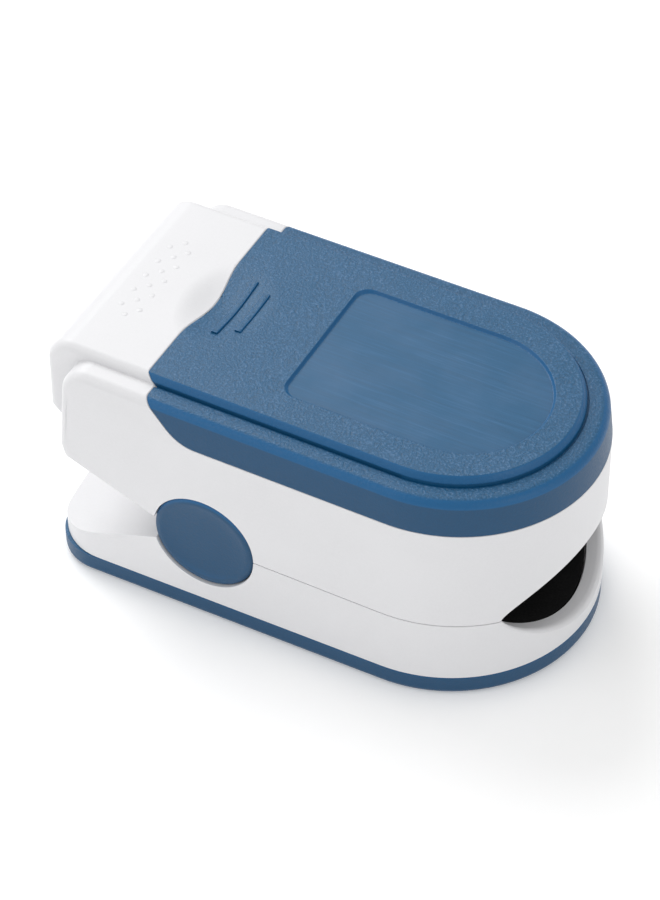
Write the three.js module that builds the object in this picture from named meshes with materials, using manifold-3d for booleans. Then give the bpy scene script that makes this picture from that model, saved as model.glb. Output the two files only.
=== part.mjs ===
// Fingertip pulse oximeter: two spring-loaded jaws on a hinge pin.
// Display half (thin, underneath), battery half (thick, on top), sliding battery cover, power button.
// Millimetres. +X points to the finger opening, +Y to the left, +Z up. The display face lies on z = 0.
import * as THREE from 'three';
import { mergeVertices } from 'three/addons/utils/BufferGeometryUtils.js';
import Module from 'manifold-3d';

const wasm = await Module();
wasm.setup();

// ---------------------------------------------------------------- driving dimensions
const LENGTH = 60;
const WIDTH = 34;
const HALF_W = WIDTH / 2;
const FRONT_X = 29.5;
const REAR_X = FRONT_X - LENGTH;
const ARC_X = FRONT_X - HALF_W; // centre of the semicircular front end
const REAR_CORNER = 5.5; // plan radius of the display half's rear corners
const REAR_BOW = 75; // plan radius of its gently curved rear edge
const STRAIGHT = 5000; // plan radius of a rear edge that is straight in effect

const HINGE_X = -9;
const HINGE_Z = 11.4;
const NOSE_DOWN = THREE.MathUtils.degToRad(1.2); // the battery half slopes down to the front

const FACE_PLATE_TOP = 2.6;
const RAMP_REAR_Z = 3.75; // lower end of the display half's rear ramp
const CHEEK_RISE = Math.tan(THREE.MathUtils.degToRad(19.7)); // sloped underside of the battery half
const CHEEK_REAR_X = -27.1;
const CHEEK_REAR_Z = 16.9;
const CHEEK_CORNER = 3; // side-view radius of the cheeks' rear corners

const SKIRT_Z = 24.8; // lower edge of the battery cover
const SHELF_Z = 29.1;
const PLATEAU_Z = 30.2;
const PLATEAU_INSET = 3.25; // from the side walls to the raised top
const CAP_REAR_X = -29.4; // rear face of the white end of the raised top
const CAP_CORNER = 3.2; // side-view radius of its rear edge
const CAP_BOTTOM_Z = 19.5;
const SEAM_X = -16.75; // cover's rear edge on the raised top
const SEAM_RADIUS = 5;
const SKIRT_START_X = -9.8; // where the cover's lower edge becomes straight

const WALL = 1.8;
const GAP = 0.15; // between pieces that are fixed together
const RUN = 0.3; // between pieces that move
const FIT = 0.1; // thin stacks inside the casing

const MOUTH_HALF_W = 11.8; // finger opening at the front
const MOUTH_Z = 10.8; // widest level of the finger channel in the display half
const MOUTH_DEPTH = 5.8;
const MOUTH_RISE = 4.9;
const CHANNEL_REAR_X = -3.4;
const SENSOR_X = 10;

const BARREL_R = 3.9; // free space round the hinge pin
const PIN_R = 1.0;
const LUG_R = 3.0;
const LUG_THICK = 2.0;
const LOWER_LUG_Y = 11.7;
const UPPER_LUG_Y = 9.3;
const CAP_R = 6.1; // round hinge cap
const CAP_HOLE_R = CAP_R + 0.25;
const CAP_INNER_Y = 14.6;
const CAP_OUTER_Y = 16.7;

const CELL_R = 5.2; // AAA cell
const CELL_LENGTH = 44.5;
const CELL_NUB = 1.0;
const CELL_Y = 5.5;
const CELL_Z = 23.45;
const CELL_REAR_X = -23.3;
const TRAY_FLOOR_Z = 17.3;
const TRAY_TOP_Z = 18.0;
const FRAME_TOP_Z = TRAY_FLOOR_Z - FIT;

const BUTTON_X = -16;
const BUTTON_R = 3.0;
const PCB_Z = 2.65;
const PCB_THICK = 0.7;
const SHELL_FLOOR_Z = 3.6;

const FRONT_STEPS = 24; // facets round the front end
const CORNER_STEPS = 5;
const BOW_STEPS = 4;
const ROUND_STEPS = 28; // facets of a full circle

// ---------------------------------------------------------------- solids
function solid(geometry) {
  const bare = geometry.clone();
  bare.deleteAttribute('normal');
  bare.deleteAttribute('uv');
  const merged = mergeVertices(bare, 1e-4);
  const vertProperties = merged.attributes.position.array;
  const triVerts = new Uint32Array(merged.index.array);
  return new wasm.Manifold(new wasm.Mesh({ numProp: 3, vertProperties, triVerts }));
}

function join(...solids) {
  return solids.reduce((all, one) => all.add(one));
}

function cut(body, ...tools) {
  return tools.reduce((left, tool) => left.subtract(tool), body);
}

function geometryOf(body) {
  const mesh = body.getMesh();
  const geometry = new THREE.BufferGeometry();
  geometry.setAttribute('position', new THREE.BufferAttribute(mesh.vertProperties, 3));
  geometry.setIndex(new THREE.BufferAttribute(mesh.triVerts, 1));
  geometry.computeVertexNormals();
  return geometry;
}

// Points of a circular arc, angles in degrees.
function arc(x, y, radius, from, to, steps) {
  return Array.from({ length: steps + 1 }, (_, i) => {
    const angle = THREE.MathUtils.degToRad(from + ((to - from) * i) / steps);
    return [x + radius * Math.cos(angle), y + radius * Math.sin(angle)];
  });
}

function shapeOf(points) {
  return new THREE.Shape(points.map(([x, y]) => new THREE.Vector2(x, y)));
}

// Plan outline: straight sides, a semicircular front and a bowed rear edge that runs into its corners.
function planOutline(half, rear, corner, bow) {
  const cornerY = half - corner;
  const cornerX = rear + bow - Math.sqrt((bow - corner) ** 2 - cornerY ** 2);
  const meeting = 180 - THREE.MathUtils.radToDeg(Math.asin(cornerY / (bow - corner)));
  const bowSteps = bow === STRAIGHT ? 1 : BOW_STEPS;
  return [
    ...arc(ARC_X, 0, half, -90, 90, FRONT_STEPS),
    ...arc(cornerX, cornerY, corner, 90, meeting, CORNER_STEPS),
    ...arc(rear + bow, 0, bow, meeting, 360 - meeting, bowSteps).slice(1, -1),
    ...arc(cornerX, -cornerY, corner, 360 - meeting, 270, CORNER_STEPS),
  ];
}

// A body with the plan outline, stacked from [inset, z] pairs that run upwards.
function planBlock(profile, rear, corner, half = HALF_W, bow = STRAIGHT) {
  const rings = profile.map(([inset, z]) => {
    const bowed = bow === STRAIGHT ? bow : bow - inset;
    const outline = planOutline(half - inset, rear + inset, Math.max(corner - inset, 0.3), bowed);
    return outline.map(([x, y]) => [x, y, z]);
  });
  const count = rings[0].length;
  const index = [];
  for (let level = 0; level + 1 < rings.length; level++) {
    for (let i = 0; i < count; i++) {
      const next = (i + 1) % count;
      const low = level * count;
      const high = low + count;
      index.push(low + i, low + next, high + next);
      index.push(low + i, high + next, high + i);
    }
  }
  const top = (rings.length - 1) * count;
  for (let i = 1; i + 1 < count; i++) {
    index.push(0, i + 1, i);
    index.push(top, top + i, top + i + 1);
  }
  const geometry = new THREE.BufferGeometry();
  geometry.setAttribute('position', new THREE.Float32BufferAttribute(rings.flat(2), 3));
  geometry.setIndex(index);
  return solid(geometry);
}

// A body with the display half's plan outline.
function displayBlock(profile) {
  return planBlock(profile, REAR_X, REAR_CORNER, HALF_W, REAR_BOW);
}

// Inset and height pairs of an edge rounded over at the top (inset grows upwards).
function roundedTop(radius, z, inset = 0, steps = 4) {
  return Array.from({ length: steps + 1 }, (_, i) => {
    const angle = (Math.PI / 2) * (i / steps);
    return [inset + radius * (1 - Math.cos(angle)), z - radius + radius * Math.sin(angle)];
  });
}

function block(x0, x1, y0, y1, z0, z1) {
  const box = new THREE.BoxGeometry(x1 - x0, y1 - y0, z1 - z0);
  return solid(box.translate((x0 + x1) / 2, (y0 + y1) / 2, (z0 + z1) / 2));
}

// A plan shape raised from z0 to z1.
function plate(points, z0, z1) {
  const raised = new THREE.ExtrudeGeometry(shapeOf(points), { depth: z1 - z0, bevelEnabled: false });
  return solid(raised.translate(0, 0, z0));
}

// A side view in x and z, extended across from y0 to y1.
function across(points, y0, y1) {
  const extended = new THREE.ExtrudeGeometry(shapeOf(points), { depth: y1 - y0, bevelEnabled: false });
  return solid(extended.rotateX(Math.PI / 2).translate(0, y1, 0));
}

// A front view in y and z, extended along X from x0 to x1.
function along(points, x0, x1) {
  const extended = new THREE.ExtrudeGeometry(shapeOf(points), { depth: x1 - x0, bevelEnabled: false });
  return solid(extended.rotateX(Math.PI / 2).rotateZ(Math.PI / 2).translate(x0, 0, 0));
}

function disc(x, z, radius, y0, y1, steps = ROUND_STEPS) {
  return across(arc(x, z, radius, 0, 360, steps).slice(0, -1), y0, y1);
}

function post(x, y, radius, z0, z1, steps = 16) {
  return plate(arc(x, y, radius, 0, 360, steps).slice(0, -1), z0, z1);
}

function roundedRectangle(x0, x1, half, corner, steps = 4) {
  return [
    ...arc(x1 - corner, half - corner, corner, 0, 90, steps),
    ...arc(x0 + corner, half - corner, corner, 90, 180, steps),
    ...arc(x0 + corner, corner - half, corner, 180, 270, steps),
    ...arc(x1 - corner, corner - half, corner, 270, 360, steps),
  ];
}

// The same solid on both sides of the middle plane.
function bothSides(make) {
  return join(make(1), make(-1));
}

function sideDisc(side, x, z, radius, y0, y1, steps) {
  return side > 0 ? disc(x, z, radius, y0, y1, steps) : disc(x, z, radius, -y1, -y0, steps);
}

// ---------------------------------------------------------------- shared shapes
// Level of the plane between the two halves.
function partingZ(x) {
  return HINGE_Z - (x - HINGE_X) * Math.tan(NOSE_DOWN);
}

// Slope of the casing under the cheeks, level with the battery half.
function cheekZ(x) {
  return CHEEK_REAR_Z - (x - CHEEK_REAR_X) * CHEEK_RISE;
}

// Round finger channel: an ellipse with separate upper and lower heights.
function channel(halfWidth, z, down, up, x0, x1) {
  const section = arc(0, 0, 1, 0, 360, 36).slice(0, -1);
  return along(section.map(([y, h]) => [y * halfWidth, z + h * (h > 0 ? up : down)]), x0, x1);
}

const barrel = disc(HINGE_X, HINGE_Z, BARREL_R, -HALF_W + WALL, HALF_W - WALL);

const capHoles = bothSides((side) =>
  sideDisc(side, HINGE_X, HINGE_Z, CAP_HOLE_R, CAP_INNER_Y - GAP, HALF_W + 1, 40),
);

const pinHole = disc(HINGE_X, HINGE_Z, PIN_R + 0.1, -HALF_W, HALF_W, 16);

function lugs(y, web) {
  const round = bothSides((side) => sideDisc(side, HINGE_X, HINGE_Z, LUG_R, y, y + LUG_THICK));
  const [x0, x1, z0, z1] = web;
  const webs = join(block(x0, x1, y, y + LUG_THICK, z0, z1), block(x0, x1, -y - LUG_THICK, -y, z0, z1));
  return join(round, webs);
}

// Side view of everything in front of the cover's seam, moved back by `back`.
function coverSide(back) {
  const bottom = SKIRT_Z - back;
  const bend = arc(SKIRT_START_X, bottom + SEAM_RADIUS, SEAM_RADIUS, 270, 225, 5);
  const run = PLATEAU_Z + 2 - bend[5][1];
  return [
    [FRONT_X + 2, PLATEAU_Z + 2],
    [bend[5][0] - run - back, PLATEAU_Z + 2],
    [bend[5][0] - back, bend[5][1]],
    ...bend.slice(0, 5).reverse(),
    [FRONT_X + 2, bottom],
  ];
}

// Side walls of the battery half as [inset, z]: slight draft, then rounded over to the shelf.
const SIDE_PROFILE = [
  [0, HINGE_Z + GAP],
  [0.25, SKIRT_Z],
  [0.75, SHELF_Z - 0.75],
  [0.9, SHELF_Z - 0.4],
  [1.15, SHELF_Z - 0.12],
  [1.5, SHELF_Z],
];

// Outer form of the battery half with its cover on.
function upperForm() {
  const sides = planBlock(SIDE_PROFILE, CHEEK_REAR_X, 1.2);
  const cheekSide = [
    ...arc(CHEEK_REAR_X + CHEEK_CORNER, SHELF_Z - CHEEK_CORNER, CHEEK_CORNER, 90, 180, 6),
    [CHEEK_REAR_X, CHEEK_REAR_Z + 1.2],
    [CHEEK_REAR_X + 0.4, cheekZ(CHEEK_REAR_X + 0.4)],
    [HINGE_X, cheekZ(HINGE_X)],
    [HINGE_X, HINGE_Z],
    [FRONT_X + 1, HINGE_Z],
    [FRONT_X + 1, SHELF_Z],
  ];
  const raised = planBlock(
    [[0, CAP_BOTTOM_Z], ...roundedTop(0.5, PLATEAU_Z)],
    CAP_REAR_X,
    0.6,
    HALF_W - PLATEAU_INSET,
  );
  const capSide = [
    ...arc(CAP_REAR_X + CAP_CORNER, PLATEAU_Z - CAP_CORNER, CAP_CORNER, 90, 180, 7),
    [CAP_REAR_X, CAP_BOTTOM_Z + 0.8],
    [CAP_REAR_X + 0.8, CAP_BOTTOM_Z],
    [FRONT_X, CAP_BOTTOM_Z],
    [FRONT_X, PLATEAU_Z],
  ];
  const plateau = raised.intersect(across(capSide, -HALF_W, HALF_W));
  const plateauFront = block(CHEEK_REAR_X + 3, FRONT_X, -HALF_W, HALF_W, CAP_BOTTOM_Z - 1, SHELF_Z - 0.5);
  return join(sides.intersect(across(cheekSide, -HALF_W - 1, HALF_W + 1)), cut(plateau, plateauFront));
}

// Shallow round hollow for the thumb, across the seam.
const THUMB_X = -12.4;
const THUMB_R = 6.2;
const THUMB_DEPTH = 0.6;

function thumbHollow() {
  const steps = 6;
  const bowl = Array.from({ length: steps + 1 }, (_, i) => {
    const share = i / steps;
    return new THREE.Vector2(THUMB_R * share, -THUMB_DEPTH * (1 - share * share));
  });
  const profile = [...bowl, new THREE.Vector2(THUMB_R, 1), new THREE.Vector2(0, 1)];
  const lathe = new THREE.LatheGeometry(profile, 28).rotateX(Math.PI / 2);
  return solid(lathe.translate(THUMB_X, 0, PLATEAU_Z));
}

// ---------------------------------------------------------------- materials and nodes
const finishes = {
  white: { color: 0xeeeef0, roughness: 0.45, metalness: 0 },
  blue: { color: 0x2f5f92, roughness: 0.55, metalness: 0 },
  black: { color: 0x101011, roughness: 0.8, metalness: 0 },
  smoke: { color: 0x15181c, roughness: 0.08, metalness: 0 },
  clear: { color: 0xd8dde0, roughness: 0.1, metalness: 0 },
  board: { color: 0x1f5a3a, roughness: 0.5, metalness: 0 },
  part: { color: 0x26262a, roughness: 0.4, metalness: 0 },
  steel: { color: 0xb9bcc0, roughness: 0.3, metalness: 1 },
  label: { color: 0x3b4046, roughness: 0.35, metalness: 0 },
  silver: { color: 0xc4c7ca, roughness: 0.35, metalness: 0.6 },
  polyimide: { color: 0xa8641c, roughness: 0.4, metalness: 0 },
};

const displayHalf = new THREE.Group();
const batteryHalf = new THREE.Group();

function add(group, name, body, finish) {
  const mesh = new THREE.Mesh(geometryOf(body), new THREE.MeshStandardMaterial(finishes[finish]));
  mesh.name = name;
  group.add(mesh);
}

// ---------------------------------------------------------------- display half
const WINDOW_REAR_X = -2;
const WINDOW_FRONT_X = 22;
const WINDOW_HALF_W = 9.5;
const FACE_THICK = 1.2;

function facePlate() {
  const outer = displayBlock([[0.9, 0], [0.3, 0.25], [0, 0.9], [0, FACE_PLATE_TOP]]);
  const inner = displayBlock([[1.6, FACE_THICK], [1.6, FACE_PLATE_TOP + 1]]);
  const window = plate(roundedRectangle(WINDOW_REAR_X, WINDOW_FRONT_X, WINDOW_HALF_W, 2), -1, 3);
  const buttonHole = post(BUTTON_X, 0, BUTTON_R + GAP, -1, 3, 24);
  return cut(outer, inner, window, buttonHole);
}

function displayWindow() {
  const pane = roundedRectangle(WINDOW_REAR_X + FIT, WINDOW_FRONT_X - FIT, WINDOW_HALF_W - FIT, 1.9);
  const flange = roundedRectangle(WINDOW_REAR_X - 1, WINDOW_FRONT_X + 1, WINDOW_HALF_W + 1, 2);
  return join(plate(pane, 0.25, FACE_THICK + 0.2), plate(flange, FACE_THICK + FIT, FACE_THICK + 0.4));
}

function displayModule() {
  return plate(roundedRectangle(WINDOW_REAR_X + 2.5, WINDOW_FRONT_X - 2, 7.6, 0.3, 1), 1.7, PCB_Z - FIT);
}

const PCB_HOLES = [
  [-20, 10],
  [-20, -10],
  [10, 13.3],
  [10, -13.3],
];

function mainPcb() {
  const board = displayBlock([[2.4, PCB_Z], [2.4, PCB_Z + PCB_THICK]]);
  return cut(board, ...PCB_HOLES.map(([x, y]) => post(x, y, 0.95, 0, 5, 12)));
}

function displayShell() {
  const top = [
    [REAR_X, FACE_PLATE_TOP + GAP],
    [FRONT_X + 1, FACE_PLATE_TOP + GAP],
    [FRONT_X + 1, partingZ(FRONT_X + 1) - GAP],
    [HINGE_X, HINGE_Z - GAP],
    [HINGE_X - 1.5, HINGE_Z - GAP],
    [REAR_X, RAMP_REAR_Z],
  ];
  const outer = displayBlock([[0, FACE_PLATE_TOP + GAP], [0, HINGE_Z]]);
  const form = outer.intersect(across(top, -HALF_W - 1, HALF_W + 1));
  const inside = [
    [REAR_X, 2],
    [FRONT_X, 2],
    [FRONT_X, SHELL_FLOOR_Z],
    [CHANNEL_REAR_X - 0.9, SHELL_FLOOR_Z],
    [CHANNEL_REAR_X - 0.9, 6.4],
    [-19, 6.4],
    [-25.6, 3.7],
    [REAR_X, 3.0],
  ];
  const hollowPlan = displayBlock([[WALL, 1], [WALL, 8]]);
  const hollow = hollowPlan.intersect(across(inside, -HALF_W, HALF_W));
  const seatPlan = planBlock([[WALL + 0.1, 1], [WALL + 0.1, 14]], CHANNEL_REAR_X - WALL, 0.5);
  const seat = channel(MOUTH_HALF_W + 0.8, MOUTH_Z, MOUTH_DEPTH + 0.8, 4, CHANNEL_REAR_X, FRONT_X);
  const mouth = channel(MOUTH_HALF_W, MOUTH_Z, MOUTH_DEPTH, 4, 15, FRONT_X + 1);
  const flexSlot = block(-7.4, -5.4, -3.3, 3.3, 5, 9);
  const emitterHole = post(SENSOR_X, 0, 2.6, 3, 5, 20);
  const bossPlaces = PCB_HOLES.slice(0, 2);
  const bosses = join(...bossPlaces.map(([x, y]) => post(x, y, 2.0, PCB_Z + PCB_THICK + FIT, 6.6)));
  const screwHoles = PCB_HOLES.map(([x, y]) => post(x, y, 0.85, 2, 5.8, 12));
  const shell = cut(form, hollow, seat.intersect(seatPlan), mouth, barrel, capHoles, flexSlot, emitterHole);
  const lowerLugs = lugs(LOWER_LUG_Y, [HINGE_X - 2.4, HINGE_X + 2.4, 7, HINGE_Z]);
  return cut(join(shell, bosses.intersect(form), lowerLugs), pinHole, ...screwHoles);
}

function padShell(z, down, up, top) {
  const thin = channel(MOUTH_HALF_W - 0.1, z, down, up, CHANNEL_REAR_X + 1.2, FRONT_X);
  const whole = channel(MOUTH_HALF_W + 0.7, z, down + 0.75, up + 0.7, CHANNEL_REAR_X + GAP, FRONT_X);
  const plan = planBlock([[WALL + 0.3, 0], [WALL + 0.3, 20]], CHANNEL_REAR_X - WALL, 0.5);
  return cut(whole.intersect(plan), thin).intersect(across(top, -HALF_W, HALF_W));
}

function lowerPad() {
  const below = [
    [-6, 2],
    [FRONT_X, 2],
    [FRONT_X, partingZ(FRONT_X) - RUN],
    [-6, partingZ(-6) - RUN],
  ];
  const pad = padShell(MOUTH_Z, MOUTH_DEPTH - 0.05, 4, below);
  return cut(pad, post(SENSOR_X, 0, 2.6, 3, 6, 20));
}

function screw(x, y, headZ, tipZ) {
  const up = Math.sign(headZ - tipZ);
  const headTop = headZ + up * 0.6;
  const head = post(x, y, 1.35, Math.min(headZ, headTop), Math.max(headZ, headTop), 12);
  const shank = post(x, y, 0.7, Math.min(tipZ, headTop), Math.max(tipZ, headTop), 8);
  const slotted = block(x - 0.9, x + 0.9, y - 0.15, y + 0.15, headTop - 0.25, headTop + 0.25);
  return cut(join(head, shank), slotted);
}

// Round cap over the end of the hinge pin: bevelled edge and a slightly dished face.
function hingeCap(side) {
  const profile = [
    [0, CAP_INNER_Y - 0.7],
    [1.6, CAP_INNER_Y - 0.7],
    [1.6, CAP_INNER_Y],
    [CAP_R, CAP_INNER_Y],
    [CAP_R, CAP_OUTER_Y - 0.45],
    [CAP_R - 0.4, CAP_OUTER_Y],
    [CAP_R - 0.9, CAP_OUTER_Y - 0.05],
    [CAP_R - 2.6, CAP_OUTER_Y - 0.35],
    [0, CAP_OUTER_Y - 0.5],
  ];
  const lathe = new THREE.LatheGeometry(profile.map(([r, y]) => new THREE.Vector2(r, y)), 32);
  if (side < 0) lathe.rotateX(Math.PI);
  return solid(lathe.translate(HINGE_X, 0, HINGE_Z));
}

// Torsion spring: a coil on the pin with one leg on each jaw.
const SPRING_WIRE_R = 0.35;
const SPRING_COIL_R = 1.75;
const SPRING_LEG = 6.6;

function torsionSpring(side) {
  const turns = 4;
  const stepsPerTurn = 8;
  const lowAngle = THREE.MathUtils.degToRad(149);
  const highAngle = THREE.MathUtils.degToRad(163);
  const span = turns * 2 * Math.PI + (highAngle - lowAngle);
  const steps = turns * stepsPerTurn;
  const points = [];
  const legPoint = (angle, lift, rise, y) => {
    const x = HINGE_X - Math.cos(rise) * SPRING_LEG - Math.sin(rise) * lift;
    const z = HINGE_Z - Math.sin(rise) * SPRING_LEG + Math.cos(rise) * lift;
    return new THREE.Vector3(x, y, z);
  };
  const yStart = 3.9;
  const pitch = 0.95;
  points.push(legPoint(lowAngle, 1.15, THREE.MathUtils.degToRad(22), side * yStart));
  for (let i = 0; i <= steps; i++) {
    const angle = lowAngle + (span * i) / steps;
    const y = side * (yStart + (pitch * turns * i) / steps);
    const x = HINGE_X + SPRING_COIL_R * Math.cos(angle);
    const z = HINGE_Z + SPRING_COIL_R * Math.sin(angle);
    points.push(new THREE.Vector3(x, y, z));
  }
  points.push(legPoint(highAngle, -0.15, THREE.MathUtils.degToRad(-16.4), side * (yStart + pitch * turns)));
  return wire(points, SPRING_WIRE_R, steps + 14);
}

// Round wire through the given points.
function wire(points, radius, steps) {
  const path = new THREE.CatmullRomCurve3(points, false, 'centripetal');
  const section = shapeOf(arc(0, 0, radius, 0, 360, 6).slice(0, -1));
  return solid(new THREE.ExtrudeGeometry(section, { steps, extrudePath: path, bevelEnabled: false }));
}

// Flat flexible cable from the main board up into the battery half.
function flexCable() {
  const x = -6.4;
  const thick = 0.25;
  const outline = [
    [x, 4.4],
    [x, 8],
    [x + 0.35, 11.4],
    [x, 14.2],
    [x, 16.6],
  ];
  const back = outline.map(([px, pz]) => [px - thick, pz]).reverse();
  return across([...outline, ...back], -2.7, 2.7);
}

add(displayHalf, 'face_plate', facePlate(), 'blue');
add(displayHalf, 'display_window', displayWindow(), 'smoke');
add(displayHalf, 'display_module', displayModule(), 'part');
add(displayHalf, 'main_pcb', mainPcb(), 'board');
add(displayHalf, 'tact_switch', block(BUTTON_X - 2.2, BUTTON_X + 2.2, -2.2, 2.2, 2.15, PCB_Z - 0.05), 'part');
add(displayHalf, 'emitter_led', block(SENSOR_X - 1.5, SENSOR_X + 1.5, -1.4, 1.4, 3.45, 4.45), 'part');
add(displayHalf, 'emitter_window', post(SENSOR_X, 0, 2.4, 4.55, 5.0, 20), 'clear');
add(displayHalf, 'flex_connector', block(-8.0, -4.8, -3.4, 3.4, 3.4, 4.3), 'part');
add(displayHalf, 'display_half_shell', displayShell(), 'white');
add(displayHalf, 'lower_finger_pad', lowerPad(), 'black');
PCB_HOLES.forEach(([x, y], i) => {
  add(displayHalf, `pcb_screw_${i + 1}`, screw(x, y, PCB_Z - FIT, 5.4), 'steel');
});
add(displayHalf, 'hinge_pin', disc(HINGE_X, HINGE_Z, PIN_R, -13.8, 13.8, 16), 'steel');
add(displayHalf, 'hinge_cap_left', hingeCap(1), 'blue');
add(displayHalf, 'hinge_cap_right', hingeCap(-1), 'blue');
add(displayHalf, 'torsion_spring_left', torsionSpring(1), 'steel');
add(displayHalf, 'torsion_spring_right', torsionSpring(-1), 'steel');
add(displayHalf, 'flex_cable', flexCable(), 'polyimide');

// ---------------------------------------------------------------- power button
function powerButton() {
  const cap = post(BUTTON_X, 0, BUTTON_R, 0.25, FACE_THICK + 0.2, 24);
  const flange = post(BUTTON_X, 0, BUTTON_R + 0.8, FACE_THICK + GAP, FACE_THICK + 0.5, 24);
  return join(cap, flange);
}

add(displayHalf, 'power_button', powerButton(), 'silver');

// ---------------------------------------------------------------- battery half
const form = upperForm();

const BED_SCREWS = [
  [-13, 12.4],
  [-13, -12.4],
  [6, 12.4],
  [6, -12.4],
];

// Grip dots in three staggered rows on the rear of the raised top.
function gripDots() {
  const pitch = 2.65;
  const rows = [
    [-25.2, 5],
    [-24.0, 6],
    [-22.9, 5],
  ];
  return rows.flatMap(([x, count]) =>
    Array.from({ length: count }, (_, i) =>
      post(x, (i - (count - 1) / 2) * pitch, 0.32, PLATEAU_Z - 0.3, PLATEAU_Z + 0.12, 6),
    ),
  );
}

function batteryShell() {
  const rimInset = WALL + 0.6;
  const casing = cut(form, across(coverSide(GAP), -HALF_W - 1, HALF_W + 1), thumbHollow());
  const lowerHollow = planBlock([[WALL, HINGE_Z - 1], [WALL, TRAY_FLOOR_Z]], CHEEK_REAR_X, 0.8);
  const battery = planBlock([[rimInset + 0.7, TRAY_TOP_Z], [rimInset + 0.7, 28.9]], CHEEK_REAR_X - 1.4, 0.8);
  const underCap = block(-30, SEAM_X + 1, -12.2, 12.2, 15, 40);
  const ahead = block(SEAM_X + 0.9, 40, -20, 20, 15, 40);
  const contactPocket = block(-26.2, -24, -10.8, 10.8, 20, 28);
  const hollow = join(battery.intersect(join(underCap, ahead)), contactPocket);
  const rim = planBlock([[rimInset, SKIRT_Z - 1], [rimInset, 26.9]], -15, 0.5);
  const tongue = planBlock([[WALL + 0.1, 26.1], [WALL + 0.1, 26.9]], -15, 0.5);
  const rimSide = block(-13.4, FRONT_X, -HALF_W, HALF_W, SKIRT_Z - 0.5, 27);
  const inner = planBlock([[rimInset + 0.7, SKIRT_Z - 2], [rimInset + 0.7, 28]], -20, 0.5);
  const rimRing = cut(join(rim, tongue).intersect(rimSide), inner);
  const ribs = [10.9, -11.5].map((y) => block(-10, 3, y, y + 0.6, TRAY_TOP_Z - 0.1, 23));
  const mouth = channel(MOUTH_HALF_W, HINGE_Z, 4, MOUTH_RISE, 15, FRONT_X + 1);
  const screwHoles = BED_SCREWS.map(([x, y]) => post(x, y, 0.95, 16, 19, 12));
  const shell = cut(casing, lowerHollow, hollow, mouth, capHoles);
  return cut(join(shell, rimRing, ...ribs, ...gripDots()), ...screwHoles);
}

function bedFrame() {
  const side = [
    [-24.4, FRAME_TOP_Z],
    [-24.4, cheekZ(-24.4)],
    [HINGE_X, cheekZ(HINGE_X)],
    [HINGE_X, HINGE_Z + GAP],
    [FRONT_X, HINGE_Z + GAP],
    [FRONT_X, FRAME_TOP_Z],
  ];
  const plan = planBlock([[WALL + 0.2, HINGE_Z], [WALL + 0.2, FRAME_TOP_Z]], CHEEK_REAR_X, 0.8);
  const body = plan.intersect(across(side, -HALF_W, HALF_W));
  const seat = channel(MOUTH_HALF_W + 0.8, HINGE_Z, 4, MOUTH_RISE + 0.6, CHANNEL_REAR_X, FRONT_X);
  const capClear = bothSides((s) => sideDisc(s, HINGE_X, HINGE_Z, CAP_HOLE_R, 14.3, HALF_W, 32));
  const lowerLugClear = bothSides((s) => sideDisc(s, HINGE_X, HINGE_Z, BARREL_R + 0.1, 8, HALF_W));
  const pocketRearX = HINGE_X - 6.9;
  const pocketTopZ = HINGE_Z + 3.4;
  const pocketSide = [
    [HINGE_X, HINGE_Z - 2],
    [HINGE_X, HINGE_Z],
    [pocketRearX + 2, pocketTopZ],
    [pocketRearX, pocketTopZ],
    [pocketRearX, HINGE_Z - 2],
  ];
  // The pocket clears the spring legs, and the ramp of the display half as it swings.
  const springPocket = across(pocketSide, -HALF_W, HALF_W);
  const flexSlot = block(-7.2, -5.8, -3.0, 3.0, 13, 18);
  const sensorHole = post(SENSOR_X, 0, 2.2, 16, 18, 20);
  const screwHoles = BED_SCREWS.map(([x, y]) => post(x, y, 0.85, 14.6, 18, 12));
  const frame = cut(body, seat, barrel, capClear, lowerLugClear, springPocket, flexSlot, sensorHole);
  const upperLugs = lugs(UPPER_LUG_Y, [HINGE_X - 2.4, HINGE_X + 2.4, HINGE_Z, 15.8]);
  return cut(join(frame, upperLugs), pinHole, ...screwHoles);
}

function upperPad() {
  const above = [
    [-6, HINGE_Z + RUN],
    [FRONT_X, HINGE_Z + RUN],
    [FRONT_X, 20],
    [-6, 20],
  ];
  const pad = padShell(HINGE_Z, 4, MOUTH_RISE - 0.2, above);
  return cut(pad, post(SENSOR_X, 0, 2.6, 15, 18, 20));
}

// AAA cell along X; `toRear` turns its positive nub to the rear.
function cell(y, toRear) {
  const rim = 0.4;
  const profile = [
    [0, 0],
    [CELL_R - rim, 0],
    [CELL_R, rim],
    [CELL_R, CELL_LENGTH - CELL_NUB - rim],
    [CELL_R - rim, CELL_LENGTH - CELL_NUB],
    [1.8, CELL_LENGTH - CELL_NUB],
    [1.8, CELL_LENGTH],
    [0, CELL_LENGTH],
  ];
  const lathe = new THREE.LatheGeometry(profile.map(([r, x]) => new THREE.Vector2(r, x)), 24);
  lathe.rotateZ(-Math.PI / 2);
  if (toRear) lathe.rotateZ(Math.PI).translate(CELL_LENGTH, 0, 0);
  return solid(lathe.translate(CELL_REAR_X, y, CELL_Z));
}

// Conical contact spring from a plate at x0 to the cell's flat end at x1.
function contactSpring(x0, x1, y) {
  const turns = 3;
  const steps = turns * 10;
  const points = Array.from({ length: steps + 1 }, (_, i) => {
    const share = i / steps;
    const radius = 2.4 - 0.9 * share;
    const angle = share * turns * 2 * Math.PI;
    const x = x0 + (x1 - x0) * share;
    return new THREE.Vector3(x, y + radius * Math.cos(angle), CELL_Z + radius * Math.sin(angle));
  });
  return wire(points, 0.25, 26);
}

const CONTACT_THICK = 0.3;
const CONTACT_REAR_X = -26.0;
const CONTACT_FRONT_X = CELL_REAR_X + CELL_LENGTH + 1.9;

function contactPlate(x, y0, y1) {
  return block(x, x + CONTACT_THICK, y0, y1, CELL_Z - 3, CELL_Z + 3);
}

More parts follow.
